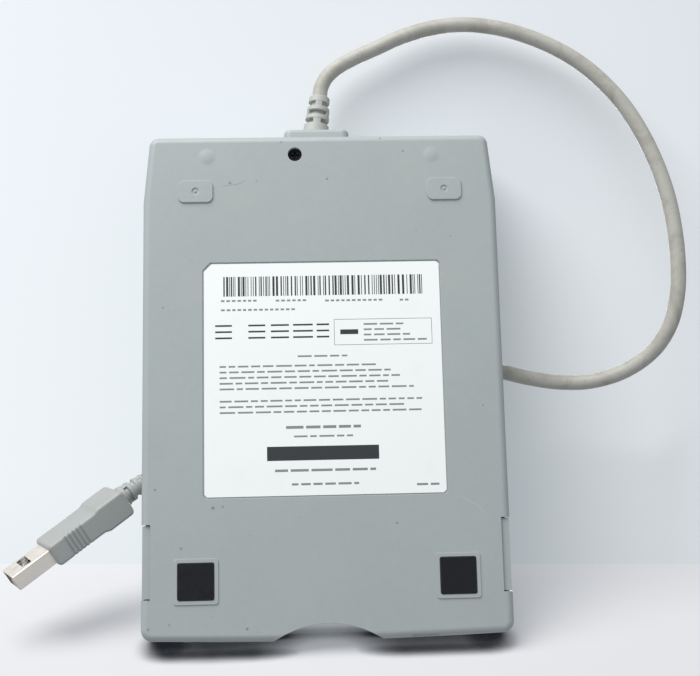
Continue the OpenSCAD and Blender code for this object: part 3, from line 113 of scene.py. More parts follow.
class Finish:
    """A Principled material with its colour, roughness and bump built up from noise in object space."""

    def __init__(self, name, colour, rough=0.5, metal=0.0, specular=0.5):
        self.material = bpy.data.materials.new(name)
        self.material.use_nodes = True
        self.nodes = self.material.node_tree.nodes
        self.links = self.material.node_tree.links
        self.shader = self.nodes["Principled BSDF"]
        self.shader.inputs["Metallic"].default_value = metal
        self.shader.inputs["Specular IOR Level"].default_value = specular
        self.place = self.nodes.new("ShaderNodeTexCoord").outputs["Object"]
        base = self.nodes.new("ShaderNodeRGB")
        base.outputs[0].default_value = linear(*colour)
        self.colour = base.outputs[0]
        self.rough = None
        self.base_rough = rough
        self.height = None

    def make(self, kind, inputs=(), **settings):
        node = self.nodes.new(kind)
        for key, value in settings.items():
            setattr(node, key, value)
        for key, value in dict(inputs).items():
            if isinstance(value, bpy.types.NodeSocket):
                self.links.new(value, node.inputs[key])
            else:
                node.inputs[key].default_value = value
        return node

    def math(self, operation, a, b=0.0):
        return self.make("ShaderNodeMath", {0: a, 1: b}, operation=operation).outputs[0]

    def stretched(self, x=1.0, y=1.0, z=1.0):
        return self.make("ShaderNodeMapping", {0: self.place, 3: (x, y, z)}).outputs[0]

    def noise(self, per_mm, detail=2.0, roughness=0.5, place=None, distortion=0.0):
        return self.make("ShaderNodeTexNoise", {
            "Vector": place or self.place, "Scale": per_mm * 1000, "Detail": detail, "Roughness": roughness,
            "Distortion": distortion}).outputs["Fac"]

    def ramp(self, value, low, high, to_low=0.0, to_high=1.0):
        return self.make("ShaderNodeMapRange", {0: value, 1: low, 2: high, 3: to_low, 4: to_high}).outputs[0]

    def tint(self, mask, colour):
        """Mixes a colour over the surface where mask is high."""
        mix = self.make("ShaderNodeMix", {0: mask, 6: self.colour, 7: linear(*colour)}, data_type="RGBA")
        self.colour = mix.outputs[2]
        return self

    def vary(self, per_mm, amount, detail=2.0, place=None):
        """Lightens and darkens the colour by a share, softly."""
        factor = self.ramp(self.noise(per_mm, detail, place=place), 0.25, 0.75, 1 - amount, 1 + amount)
        grey = self.make("ShaderNodeCombineColor", {0: factor, 1: factor, 2: factor})
        mix = self.make("ShaderNodeMix", {0: 1.0, 6: self.colour, 7: grey.outputs[0]}, data_type="RGBA",
                        blend_type="MULTIPLY")
        self.colour = mix.outputs[2]
        return self

    def gloss(self, per_mm, amount, place=None):
        """Varies the roughness."""
        self.rough = self.ramp(self.noise(per_mm, 2, place=place), 0.3, 0.7, self.base_rough - amount,
                               self.base_rough + amount)
        return self

    def lift(self, value, height):
        """Adds to the bump, height in millimetres."""
        scaled = self.math("MULTIPLY", value, height)
        self.height = scaled if self.height is None else self.math("ADD", self.height, scaled)
        return self

    def grain(self, per_mm, height, detail=2.0, place=None):
        return self.lift(self.noise(per_mm, detail, 0.6, place), height)

    def spots(self, points, colour, strength=0.8):
        """Small marks at points of the underside: (x, y, radius) in millimetres."""
        total = None
        flat = self.stretched(1, 1, 0)
        wobble = self.noise(1.8, 2)
        for x, y, radius in points:
            gap = self.make("ShaderNodeVectorMath", {0: flat, 1: (x * MM, y * MM, 0)}, operation="DISTANCE")
            mask = self.ramp(gap.outputs["Value"], radius * 1.1 * MM, radius * 0.4 * MM, 0, strength)
            total = mask if total is None else self.math("MAXIMUM", total, mask)
        return self.tint(self.math("MULTIPLY", total, self.ramp(wobble, 0.3, 0.55, 0.5, 1)), colour)

    def streak(self, start, end, width, colour, strength):
        """A fine scratch on the underside from start to end, in millimetres."""
        a, b = Vector((*start, 0)) * MM, Vector((*end, 0)) * MM
        along = (b - a).normalized()
        across = Vector((-along.y, along.x, 0))
        flat = self.stretched(1, 1, 0)
        rel = self.make("ShaderNodeVectorMath", {0: flat, 1: tuple(a)}, operation="SUBTRACT").outputs[0]
        u, v = (self.make("ShaderNodeVectorMath", {0: rel, 1: tuple(axis)}, operation="DOT_PRODUCT")
                .outputs["Value"] for axis in (along, across))
        bend = self.math("MULTIPLY", self.math("SUBTRACT", self.noise(0.25, 1), 0.5), 1.6 * MM)
        off = self.math("ABSOLUTE", self.math("ADD", v, bend))
        mask = self.ramp(off, width * MM, 0, 0, strength)
        length = (b - a).length
        ends = self.math("MULTIPLY", self.ramp(u, 0, 0.1 * length), self.ramp(u, length, 0.8 * length))
        return self.tint(self.math("MULTIPLY", mask, ends), colour)

    def done(self):
        self.links.new(self.colour, self.shader.inputs["Base Color"])
        if self.rough is None:
            self.shader.inputs["Roughness"].default_value = self.base_rough
        else:
            self.links.new(self.rough, self.shader.inputs["Roughness"])
        if self.height is not None:
            bump = self.make("ShaderNodeBump", {"Strength": 1.0, "Distance": MM, "Height": self.height})
            self.links.new(bump.outputs[0], self.shader.inputs["Normal"])
        return self.material


# Small dark specks on the underside: x, y and radius
UNDER_MARKS = [
    (11.3, 69.4, 0.35), (26.5, 57, 0.5), (-2.1, 57.9, 0.45), (-24.8, 66.2, 0.4), (-18.1, 70.3, 0.4),
    (18.6, 57.5, 0.3), (-19.8, -42.7, 0.4), (48, -32, 0.4), (40.7, -48.4, 0.45), (49.5, -62.4, 0.35),
    (49.7, -70.1, 0.5), (31.8, -37.4, 0.6), (29, -37.1, 0.4), (22.5, -70.6, 0.5), (44, -69, 0.35),
    (-38, 40, 0.3), (46, 20, 0.35), (-45.5, -10, 0.3),
]


def case_finish(name, marks):
    f = Finish(name, (167, 175, 176), rough=0.46, specular=0.4)
    f.vary(0.035, 0.018, 1).vary(0.5, 0.014).vary(2.2, 0.012, 1)
    f.tint(f.ramp(f.noise(0.06, 3, 0.6), 0.52, 0.75, 0, 0.16), (184, 178, 166))
    f.tint(f.ramp(f.noise(0.9, 1), 0.78, 0.84, 0, 0.35), (110, 112, 112))
    if marks:
        f.spots(UNDER_MARKS, (96, 98, 98), 0.62)
        f.streak((29, 56), (21, 57.4), 0.16, (112, 114, 114), 0.7)
        f.streak((-38, -35), (-45, -40.5), 0.18, (196, 202, 202), 0.5)
    f.gloss(0.4, 0.05)
    f.grain(2.6, 0.014).grain(0.9, 0.012, 1)
    return f.done()


def metal_finish(name, colour, rough, along, amount=0.03, metal=1.0):
    """Rolled or turned metal, its fine lines along one axis. amount is how much its colour varies."""
    f = Finish(name, colour, rough=rough, metal=metal)
    scale = [0.12 if axis == along else 1.0 for axis in "xyz"]
    lines = f.stretched(*scale)
    f.vary(1.6, amount, 3, lines).vary(0.08, 0.04).gloss(1.2, min(0.1, rough * 0.4), lines)
    f.grain(3.0, 0.004, 2, lines)
    return f.done()


def moulded(name, colour, rough, amount=0.02, grain=0.01, specular=0.4):
    """Moulded plastic or the like. amount is how much its colour varies, grain the height of its texture."""
    f = Finish(name, colour, rough=rough, specular=specular)
    f.vary(0.15, amount).vary(1.4, amount * 0.7, 1).gloss(0.5, 0.05)
    f.grain(2.4, grain)
    return f.done()


def cord_finish():
    f = Finish("cord_jacket", (180, 179, 172), rough=0.5, specular=0.35)
    f.vary(0.05, 0.03, 2).vary(0.7, 0.025)
    f.tint(f.ramp(f.noise(0.12, 4, 0.65, distortion=1.2), 0.46, 0.7, 0, 0.5), (140, 136, 124))
    f.tint(f.ramp(f.noise(0.85, 2, 0.6), 0.64, 0.76, 0, 0.35), (112, 108, 98))
    f.gloss(0.6, 0.08).grain(1.2, 0.014)
    return f.done()


def board_finish():
    f = Finish("solder_mask", (38, 92, 60), rough=0.34)
    tracks = f.make("ShaderNodeTexBrick", {
        "Vector": f.place, "Scale": 420.0, "Mortar Size": 0.09, "Mortar Smooth": 0.2, "Bias": 0.0,
        "Brick Width": 0.9, "Row Height": 0.32}).outputs["Fac"]
    f.tint(f.math("MULTIPLY", tracks, 0.55), (70, 128, 84))
    pads = f.make("ShaderNodeTexVoronoi", {"Vector": f.place, "Scale": 520.0}).outputs["Distance"]
    f.tint(f.ramp(pads, 0.16, 0.12), (186, 182, 168))
    f.vary(0.2, 0.05).lift(tracks, 0.02)
    return f.done()


def label_finish():
    f = Finish("label_paper", (246, 250, 249), rough=0.5, specular=0.3)
    f.vary(0.03, 0.008, 1).vary(1.1, 0.006)
    f.tint(f.ramp(f.noise(0.09, 3), 0.6, 0.8, 0, 0.1), (214, 216, 208))
    f.gloss(0.3, 0.05).grain(1.6, 0.003)
    return f.done()


def rubber_finish():
    f = Finish("foot_rubber_skin", (55, 56, 61), rough=0.78, specular=0.3)
    f.vary(0.5, 0.12).tint(f.ramp(f.noise(0.7, 4, 0.7), 0.6, 0.8, 0, 0.25), (92, 92, 92))
    f.grain(2.8, 0.03, 3)
    return f.done()


case_skin = case_finish("case_skin_underside", True)
top_skin = case_finish("case_skin", False)
steel = metal_finish("steel_bright", (190, 192, 195), 0.28, "x")
sheet_y = metal_finish("sheet_steel", (188, 192, 196), 0.36, "y")
zinc = metal_finish("zinc_plate", (160, 162, 166), 0.4, "z")
plug_metal = metal_finish("plug_nickel", (247, 241, 233), 0.52, "x", metal=0.75)
dark_steel = metal_finish("screw_black", (34, 35, 38), 0.5, "z")
core_metal = metal_finish("core_stack", (126, 131, 136), 0.5, "z", 0.06)
copper = metal_finish("copper_wire", (184, 106, 52), 0.35, "x", 0.1)
bronze = metal_finish("bronze_sinter", (176, 142, 82), 0.5, "z", 0.05)
spring_bronze = metal_finish("spring_bronze", (200, 168, 112), 0.3, "y")
gold = metal_finish("gold_plate", (204, 168, 78), 0.25, "x")
black = moulded("black_moulding", (43, 46, 50), 0.5, 0.05)
chip = moulded("chip_body", (36, 38, 41), 0.6, 0.05, 0.02)
magnet = moulded("ferrite", (58, 60, 64), 0.7, 0.06, 0.02)
ceramic = moulded("head_ceramic", (120, 108, 92), 0.2, 0.04, 0.002)
door_skin = moulded("door_moulding", (62, 65, 69), 0.42, 0.03, 0.012)
white = moulded("white_moulding", (232, 232, 228), 0.45, 0.01, 0.006)
wire = moulded("wire_skin", (163, 59, 52), 0.4, 0.04, 0.004)
flat_skin = moulded("flat_cable_skin", (226, 223, 210), 0.4, 0.02, 0.006)
lens_skin = moulded("lens_moulding", (150, 190, 104), 0.18, 0.03, 0.002, 0.5)
grip_skin = moulded("grip_skin", (166, 170, 169), 0.5, 0.018, 0.014)
relief_skin = moulded("relief_skin", (178, 181, 177), 0.5, 0.03, 0.012)
cord_skin = cord_finish()
board_skin = board_finish()
label_skin = label_finish()
rubber_skin = rubber_finish()
ink = moulded("label_ink", (52, 55, 58), 0.55, 0.05, 0.002)
ink_grey = moulded("label_ink_fine", (136, 140, 142), 0.55, 0.05, 0.002)

NODE_FINISH = {
    "bottom_case": case_skin, "top_case": top_skin, "front_bezel": top_skin, "eject_button": top_skin,
    "slot_door": door_skin, "door_pin": steel, "door_spring": steel, "led_lens": lens_skin,
    "led_lamp": lens_skin, "label_plate": label_skin, "rubber_foot_left": rubber_skin,
    "rubber_foot_right": rubber_skin, "case_screw": dark_steel, "cable_gland": relief_skin,
    "cable": cord_skin, "cable_wires": wire, "plug_body": grip_skin, "plug_shell": plug_metal,
    "plug_insulator": white, "plug_contacts": gold, "drive_chassis": sheet_y, "chassis_cover": sheet_y,
    "drive_screws": zinc, "small_screws": zinc, "disk_cage": sheet_y, "cage_pins": steel,
    "eject_slider": sheet_y, "eject_springs": steel, "shutter_lever": sheet_y, "lever_pin": steel,
    "lever_spring": steel, "motor_board": board_skin, "stator_core": core_metal, "stator_coils": copper,
    "spindle_bearing": bronze, "rotor_cup": sheet_y, "rotor_magnet": magnet, "spindle_shaft": steel,
    "chucking_hub": black, "drive_pin": steel, "head_carriage": black, "lower_head": ceramic,
    "upper_head": ceramic, "upper_head_arm": spring_bronze, "arm_pivot": steel, "arm_spring": spring_bronze,
    "guide_rods": steel, "rod_clamps": zinc, "follower_pin": steel, "stepper_motor": zinc,
    "stepper_bracket": sheet_y, "lead_screw": steel, "track_switch": black, "disk_switches": black,
    "logic_board": board_skin, "logic_chips": chip, "usb_board": board_skin, "usb_chips": chip,
    "cable_socket": white, "flat_cable": flat_skin,
}
for name, obj in frame["nodes"].items():
    obj.data.materials.clear()
    obj.data.materials.append(NODE_FINISH[name])

NODE_BODY = {node: body for body, names in frame["record"]["behaviour"]["bodies"].items() for node in names}


# ---------------------------------------------------------------- mesh helpers

def add_object(name, mesh, material, node=None):
    """Links a mesh as a piece. With a node it stands for that CAD node, without one it is on the housing."""
    body = NODE_BODY[node] if node else "housing"
    obj = bpy.data.objects.new(name, mesh)
    scene.collection.objects.link(obj)
    mesh.materials.clear()
    mesh.materials.append(material)
    if node:
        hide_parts(node)
    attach(obj, body)
    return obj


def smooth(mesh, angle):
    """Smooth shading with a crease where two faces meet at more than the angle. Large faces stay flat."""
    bm = bmesh.new()
    bm.from_mesh(mesh)
    limit = math.radians(angle)
    for face in bm.faces:
        face.smooth = True
    for edge in bm.edges:
        edge.smooth = len(edge.link_faces) == 2 and edge.calc_face_angle(0) < limit
    bm.to_mesh(mesh)
    bm.free()
    return with_modifiers(mesh, ("WEIGHTED_NORMAL", {"weight": 50, "keep_sharp": True, "mode": "FACE_AREA"}))


def with_modifiers(mesh, *settings):
    """The mesh with modifiers applied: (kind, {attribute: value}) each."""
    obj = bpy.data.objects.new("scratch", mesh)
    scene.collection.objects.link(obj)
    for kind, values in settings:
        modifier = obj.modifiers.new(kind, kind)
        for key, value in values.items():
            setattr(modifier, key, value)
    bpy.context.view_layer.update()
    result = bpy.data.meshes.new_from_object(obj.evaluated_get(bpy.context.evaluated_depsgraph_get()))
    bpy.data.objects.remove(obj)
    return result


MERGE_WITHIN = 0.002
FLAT_WITHIN = math.radians(0.6)
SHARP_OVER = math.radians(32)


def dressed(node, width, segments=2, share=None):
    """A CAD node's own shape with its edges broken by width, as moulding and folding leave them.

    share tells how much of the width an edge gets, from its middle in millimetres and whether it is convex.
    """
    mesh = frame["nodes"][node].data.copy()
    bm = bmesh.new()
    bm.from_mesh(mesh)
    bmesh.ops.remove_doubles(bm, verts=bm.verts, dist=MERGE_WITHIN * MM)
    bmesh.ops.dissolve_limit(bm, angle_limit=FLAT_WITHIN, verts=bm.verts, edges=bm.edges)
    bmesh.ops.recalc_face_normals(bm, faces=bm.faces)
    weights = bm.edges.layers.float.new("bevel_weight_edge")
    for edge in bm.edges:
        if len(edge.link_faces) == 2 and edge.calc_face_angle(0) > SHARP_OVER:
            middle = (edge.verts[0].co + edge.verts[1].co) / 2 / MM
            edge[weights] = share(middle, edge.is_convex) if share else 1
    bm.to_mesh(mesh)
    bm.free()
    if width:
        mesh = with_modifiers(mesh, ("BEVEL", {
            "width": width * MM, "segments": segments, "limit_method": "WEIGHT", "use_clamp_overlap": False,
            "miter_outer": "MITER_ARC", "harden_normals": False, "loop_slide": False}))
    mesh = smooth(mesh, 30)
    mesh.name = node
    return add_object("look_" + node, mesh, NODE_FINISH[node], node)


def loft(rings):
    """Mesh through rings of points that all have one count, with both ends capped."""
    bm = bmesh.new()
    rows = [[bm.verts.new(p) for p in ring] for ring in rings]
    count = len(rows[0])
    for a, b in zip(rows, rows[1:]):
        for k in range(count):
            n = (k + 1) % count
            bm.faces.new((a[k], a[n], b[n], b[k]))
    bm.faces.new(list(reversed(rows[0])))
    bm.faces.new(rows[-1])
    bmesh.ops.recalc_face_normals(bm, faces=bm.faces)
    mesh = bpy.data.meshes.new("loft")
    bm.to_mesh(mesh)
    bm.free()
    return mesh


def joined(meshes, name):
    """One mesh of several, each kept as it is."""
    bm = bmesh.new()
    for mesh in meshes:
        bm.from_mesh(mesh)
    whole = bpy.data.meshes.new(name)
    bm.to_mesh(whole)
    bm.free()
    return whole


def boxes_mesh(boxes):
    """One mesh of many boxes, each (x0, y0, z0, x1, y1, z1) in millimetres."""
    bm = bmesh.new()
    for x0, y0, z0, x1, y1, z1 in boxes:
        corners = [bm.verts.new(Vector((x, y, z)) * MM)
                   for x in (x0, x1) for y in (y0, y1) for z in (z0, z1)]
        for face in ((0, 1, 3, 2), (4, 6, 7, 5), (0, 4, 5, 1), (2, 3, 7, 6), (0, 2, 6, 4), (1, 5, 7, 3)):
            bm.faces.new([corners[i] for i in face])
    bmesh.ops.recalc_face_normals(bm, faces=bm.faces)
    mesh = bpy.data.meshes.new("boxes")
    bm.to_mesh(mesh)
    bm.free()
    return mesh


# ---------------------------------------------------------------- lead

curve = bpy.data.curves.new("lead", "CURVE")
curve.dimensions = "3D"
curve.bevel_depth = CORD_D / 2 * MM
curve.bevel_resolution = 8
curve.resolution_u = 8
curve.use_fill_caps = True
spline = curve.splines.new("BEZIER")
spline.bezier_points.add(len(CORD_ROUTE) - 1)
points = [Vector(p) * MM for p in CORD_ROUTE]
last = len(points) - 1
for i, (knot, p) in enumerate(zip(spline.bezier_points, points)):
    before, after = points[max(i - 1, 0)], points[min(i + 1, last)]
    along = (after - before).normalized()
    if i == 0:
        along = relief_axis
    if i == last:
        along = plug_axis
    knot.co = p
    knot.handle_left_type = knot.handle_right_type = "FREE"
    knot.handle_left = p - along * (p - before).length / 3
    knot.handle_right = p + along * (after - p).length / 3
lead = bpy.data.objects.new("look_cable", curve)
scene.collection.objects.link(lead)
curve.materials.append(cord_skin)
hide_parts("cable")
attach(lead, "housing")


# ---------------------------------------------------------------- plug

def plug_point(x, y, z):
    return (PLUG_TAIL + PLUG_TURN.to_matrix() @ Vector((x, y, z))) * MM


CORNER_STEPS = 6


def rounded_ring(x, w, t, r):
    """Ring of the grip at x: width w along local z, thickness t along local y, corner radius r."""
    ring = []
    for cy, cz, start in ((1, 1, 0), (-1, 1, 90), (-1, -1, 180), (1, -1, 270)):
        for i in range(CORNER_STEPS + 1):
            a = math.radians(start + 90 * i / CORNER_STEPS)
            y, z = cy * (t / 2 - r) + r * math.cos(a), cz * (w / 2 - r) + r * math.sin(a)
            ring.append(plug_point(x, y, z))
    return ring


# The grip: thick behind, thinner in front of a soft step, with five fine grooves near its front
TAIL_L, GRIP_L, GRIP_W, GRIP_T, FRONT_T = 8.6, 26.0, 15.6, 8.0, 6.8
GRIP_CORNER_R = 0.85
STEP_AT, STEP_L, STEP_NARROWING = 8.6, 2.2, 0.5
BACK_R, FRONT_R = 1.5, 1.1
GROOVE_START, GROOVE_PITCH, GROOVES, GROOVE_DEPTH = 5.3, 1.3, 5, 0.42
GROOVE_HALF_TOP, GROOVE_HALF_FLOOR, GROOVE_CLEAR = 0.38, 0.2, 0.45
grip_end = TAIL_L + GRIP_L


def grip_size(x):
    """Width, thickness and corner radius of the grip at x from the plug's tail."""
    from_back, from_front = x - TAIL_L, grip_end - x
    s = min(max((from_back - STEP_AT) / STEP_L, 0), 1)
    s = s * s * (3 - 2 * s)
    t = GRIP_T + (FRONT_T - GRIP_T) * s
    w = GRIP_W - STEP_NARROWING * s
    for d, r in ((from_back, BACK_R), (from_front, FRONT_R)):
        if d < r:
            cut = r - math.sqrt(max(r * r - (r - d) ** 2, 0))
            w, t = w - 2 * cut, t - 2 * cut
    return w, t, min(GRIP_CORNER_R, t / 2 - 0.1)


# Places of the grip's rings: close together at its rounded ends and over the step
stations = sorted(set(
    [TAIL_L + BACK_R * (1 - math.cos(math.radians(a))) for a in range(0, 91, 15)]
    + [TAIL_L + BACK_R + 0.6 * i for i in range(1, 16)]
    + [grip_end - FRONT_R * (1 - math.cos(math.radians(a))) for a in range(0, 91, 18)]
    + [TAIL_L + 12 + 1.2 * i for i in range(4)] + [grip_end - 1.8]))
grooves = [grip_end - GROOVE_START - GROOVE_PITCH * i for i in range(GROOVES)]
grip_rings = [(x, 0) for x in stations if all(abs(x - g) > GROOVE_CLEAR for g in grooves)]
for g in grooves:
    grip_rings += [(g - GROOVE_HALF_TOP, 0), (g - GROOVE_HALF_FLOOR, GROOVE_DEPTH),
                   (g + GROOVE_HALF_FLOOR, GROOVE_DEPTH), (g + GROOVE_HALF_TOP, 0)]
rings = []
for x, sink in sorted(grip_rings):
    w, t, r = grip_size(x)
    rings.append(rounded_ring(x, w - 2 * sink, t, r))
grip_mesh = smooth(loft(rings), 28)


AROUND = 40
RING_EDGE = 0.22
BRIDGE_STEPS = 8
BRIDGE_BELOW, BRIDGE_SUNK, BRIDGE_OVERLAP = 0.12, 0.3, 0.1


def slotted(place, start, length, base_r, tip_r, first_slot, pitch, slot_l, core_r, bridges):
    """Strain relief along local x: rings joined by bridges, with a smooth core inside.

    place maps local points. bridges gives each groove's bridges: the angle of one of the two, and half its
    width as an angle.
    """
    parts = []

    def turned(profile):
        angles = [2 * math.pi * k / AROUND for k in range(AROUND)]
        parts.append(loft([[place(x, r * math.cos(a), r * math.sin(a)) for a in angles] for x, r in profile]))

    def radius(x):
        return base_r + (tip_r - base_r) * (x - start) / length

    turned([(start, core_r), (start + length, core_r)])
    slots = [first_slot + pitch * i for i in range(len(bridges))]
    edges = [start] + [e for s in slots for e in (s, s + slot_l)] + [start + length]
    for a, b in zip(edges[::2], edges[1::2]):
        c = min(RING_EDGE, (b - a) / 4)
        turned([(a, radius(a) - c), (a + c, radius(a + c)), (b - c, radius(b - c)), (b, radius(b) - c)])
    for s, (turn_to, spread) in zip(slots, bridges):
        for middle in (turn_to, turn_to + 180):
            angles = [math.radians(middle - spread + 2 * spread * k / BRIDGE_STEPS)
                      for k in range(BRIDGE_STEPS + 1)]
            outline = ([(radius(s) - BRIDGE_BELOW, a) for a in angles]
                       + [(core_r - BRIDGE_SUNK, a) for a in reversed(angles)])
            parts.append(loft([[place(x, q * math.cos(a), q * math.sin(a)) for q, a in outline]
                               for x in (s - BRIDGE_OVERLAP, s + slot_l + BRIDGE_OVERLAP)]))
    return smooth(joined(parts, "relief"), 40)


tail = slotted(plug_point, start=0.15, length=TAIL_L, base_r=2.55, tip_r=3.45, first_slot=1.0, pitch=2.4,
               slot_l=1.15, core_r=CORD_D / 2 + 0.12, bridges=[(0, 34), (90, 34), (0, 34)])
grip = add_object("look_plug_body", joined([grip_mesh, tail], "grip"), grip_skin, "plug_body")
shell = dressed("plug_shell", 0.28, 3)


# ---------------------------------------------------------------- strain relief at the case

def gland_place(x, y, z):
    side = Vector((relief_axis.y, -relief_axis.x, 0))
    return (GLAND + x * relief_axis + y * side + Vector((0, 0, z))) * MM


relief = slotted(gland_place, start=-1.1, length=RELIEF_L - 0.1, base_r=RELIEF_BASE_R, tip_r=RELIEF_TIP_R,
                 first_slot=1.8, pitch=2.8, slot_l=1.35, core_r=CORD_D / 2 + 0.1,
                 bridges=[(90, 18), (0, 35), (90, 18)])
gland = add_object("look_cable_gland", relief, relief_skin, "cable_gland")


# ---------------------------------------------------------------- case, front and underside

def case_edges(middle, convex):
    """Share of the broken edge's width, by where the edge lies on the case."""
    x, y, z = middle
    rear_pad = z < 2.2 and 45 < y < 66 and abs(x) > 30
    foot_platform = z < 1.8 and 28 < abs(x) < 46 and -66 < y < -49
    snap_window = abs(x) > 47 and -64 < y < -40
    if rear_pad:
        return 0.9 if convex else 0.15
    if foot_platform:
        return 0.45 if convex else 0.2
    if snap_window:
        return 0.25
    return 0.55 if convex else 0.4


dressed("bottom_case", 0.25, share=case_edges)
dressed("top_case", 0.25, share=case_edges)
dressed("front_bezel", 0.12)
dressed("eject_button", 0.3, 3)
dressed("slot_door", 0.15)
dressed("led_lens", 0.2)
dressed("label_plate", 0)
for side in ("left", "right"):
    dressed("rubber_foot_" + side, 0.12)
dressed("case_screw", 0.08)

# Plain bars where a label has its print, on the label's lower face
LABEL_FACE = 0.65
BAR_PROUD, BAR_SUNK = 0.012, 0.01
LINE_H = 0.5
rng = random.Random(7)


def bar(x0, y0, x1, y1):
    return (min(x0, x1), min(y0, y1), LABEL_FACE - BAR_PROUD, max(x0, x1), max(y0, y1), LABEL_FACE + BAR_SUNK)


def dashes(x_start, x_end, y, height, word=(1.6, 4.6), gap=0.75):
    """A row of plain dashes from x_start down to x_end, like a line of greeked print."""
    out, x = [], x_start
    while x > x_end + 0.8:
        length = min(rng.uniform(*word), x - x_end)
        out.append(bar(x, y - height / 2, x - length, y + height / 2))
        x -= length + gap
    return out


def rows(x_start, x_ends, y_first, pitch):
    """Rows of dashes under each other, one for each end."""
    return [b for i, x_end in enumerate(x_ends) for b in dashes(x_start, x_end, y_first - pitch * i, LINE_H)]


# A row of upright bars of chance widths, and short dashes under it
dark_bars, grey_bars = [], []
x = 28.6
while x > -29.0:
    width = rng.choice((0.22, 0.22, 0.4, 0.62))
    dark_bars.append(bar(x, 23.0, x - width, 28.8))
    x -= width + rng.choice((0.25, 0.4, 0.4, 0.7))
for x0, x1, y in ((29.3, 18, 21.7), (13.5, 3.6, 21.6), (-0.8, -17.5, 21.4), (-22.5, -26, 21.3),
                  (29.3, 6.8, 19)):
    grey_bars += dashes(x0, x1, y, 0.55, (0.9, 1.1), 0.55)

# Blocks of three bars, and a ruled field with a bar and four lines
for x0, x1 in ((31, 26.2), (21.5, 16.6), (15, 9.8), (8.6, 2.9), (1.8, -1.8)):
    for y in (14.4, 12.6, 10.8):
        dark_bars.append(bar(x0, y - LINE_H / 2, x1, y + LINE_H / 2))
for corners in ((-3.2, 15.7, -31.6, 15.85), (-3.2, 8.25, -31.6, 8.4), (-3.2, 8.4, -3.35, 15.7),
                (-31.45, 8.4, -31.6, 15.7)):
    grey_bars.append(bar(*corners))
dark_bars.append(bar(-5, 11.4, -10.2, 12.8))
grey_bars += rows(-11.8, (-24, -23.4, -25.2, -30.6), 14.3, 1.55)

# Lines of text as dashes, one broad dark bar, and the last short lines
grey_bars += dashes(7.4, -6.9, 5.2, LINE_H)
grey_bars += rows(29.8, (-15.6, -20.2, -21.9, -19.2, -25.8), 2.5, 1.62)
grey_bars += rows(29.8, (-28.1, -23, -27.8), -7.5, 1.62)
grey_bars += dashes(11, -10.3, -15.2, 0.8, (3, 6))
grey_bars += dashes(8.8, -8, -17.8, LINE_H)
dark_bars.append(bar(16.5, -24.6, -15.3, -20.6))
grey_bars += dashes(14.3, -14.3, -27.4, 0.7, (3, 6))
grey_bars += dashes(9.6, -9.4, -31.3, 0.6)
grey_bars += dashes(-25.8, -32.3, -32, 0.6)
for name, bars, material in (("look_label_bars", dark_bars, ink), ("look_label_lines", grey_bars, ink_grey)):
    piece = add_object(name, boxes_mesh(bars), material)


# ---------------------------------------------------------------- floor, wall and light

# Painted shade on the floor under the drive: the occlusion's reach in millimetres, the range it is mapped
# from, and the colour at its darkest
SHADE_REACH = 8.4
SHADE_FROM, SHADE_TO = 0.43, 0.8
SHADE_COLOUR = (60, 60, 66)
# Painted shade on the wall: heights in millimetres over which its colour darkens towards high
WALL_SHADE_FROM, WALL_SHADE_TO = -30, 120


def one_sided(name, colour, normal=None, high=None):
    """Plain pale paper that only its front shows.

    With a normal, shade is painted into its colour close under what stands over it, found by ambient
    occlusion, since the steps can't shade each other.
    high is its colour further up the wall, painted darker there as painted shade, since the light is nearer.
    """
    material = bpy.data.materials.new(name)
    material.use_nodes = True
    nodes, links = material.node_tree.nodes, material.node_tree.links
    nodes.clear()

    def make(*kinds):
        return [nodes.new("ShaderNode" + kind) for kind in kinds]

    def mixed(share, low, high):
        """A colour from low to high by the share socket."""
        blend, = make("Mix")
        blend.data_type = "RGBA"
        links.new(share, blend.inputs[0])
        blend.inputs[6].default_value, blend.inputs[7].default_value = linear(*low), linear(*high)
        return blend.outputs[2]

    out, mix, diffuse, clear, place = make("OutputMaterial", "MixShader", "BsdfDiffuse", "BsdfTransparent",
                                           "NewGeometry")
    diffuse.inputs["Color"].default_value = linear(*colour)
    if normal:
        # Painted shade: ambient occlusion about the floor's true up blends the paper towards SHADE_COLOUR
        under, toward, open_air = make("AmbientOcclusion", "CombineXYZ", "MapRange")
        under.samples = 24
        under.inputs["Distance"].default_value = SHADE_REACH * MM
        for k in range(3):
            toward.inputs[k].default_value = normal[k]
        links.new(toward.outputs[0], under.inputs["Normal"])
        links.new(under.outputs["AO"], open_air.inputs[0])
        open_air.inputs[1].default_value, open_air.inputs[2].default_value = SHADE_FROM, SHADE_TO
        links.new(mixed(open_air.outputs[0], SHADE_COLOUR, colour), diffuse.inputs["Color"])
    # Painted shade: the colour darkens with height, to offset the nearer key light
    if high:
        split, rise = make("SeparateXYZ", "MapRange")
        links.new(place.outputs["Position"], split.inputs[0])
        links.new(split.outputs["Y"], rise.inputs[0])
        rise.inputs[1].default_value, rise.inputs[2].default_value = WALL_SHADE_FROM * MM, WALL_SHADE_TO * MM
        links.new(mixed(rise.outputs[0], colour, high), diffuse.inputs["Color"])
    links.new(place.outputs["Backfacing"], mix.inputs[0])
    links.new(diffuse.outputs[0], mix.inputs[1])
    links.new(clear.outputs[0], mix.inputs[2])
    links.new(mix.outputs[0], out.inputs[0])
    return material


def stage_mesh(name, quads, material):
    """A backdrop piece of separate quads, which the camera sees and the light passes."""
    mesh = bpy.data.meshes.new(name)
    faces = [tuple(range(4 * i, 4 * i + 4)) for i in range(len(quads))]
    mesh.from_pydata([p for quad in quads for p in quad], [], faces)
    mesh.materials.append(material)
    obj = bpy.data.objects.new(name, mesh)
    scene.collection.objects.link(obj)
    obj.visible_shadow = False
    obj.visible_diffuse = False
    obj.visible_glossy = False
    obj.visible_transmission = False


STAGE_STEP = 0.5
STAGE_HALF_W = 600


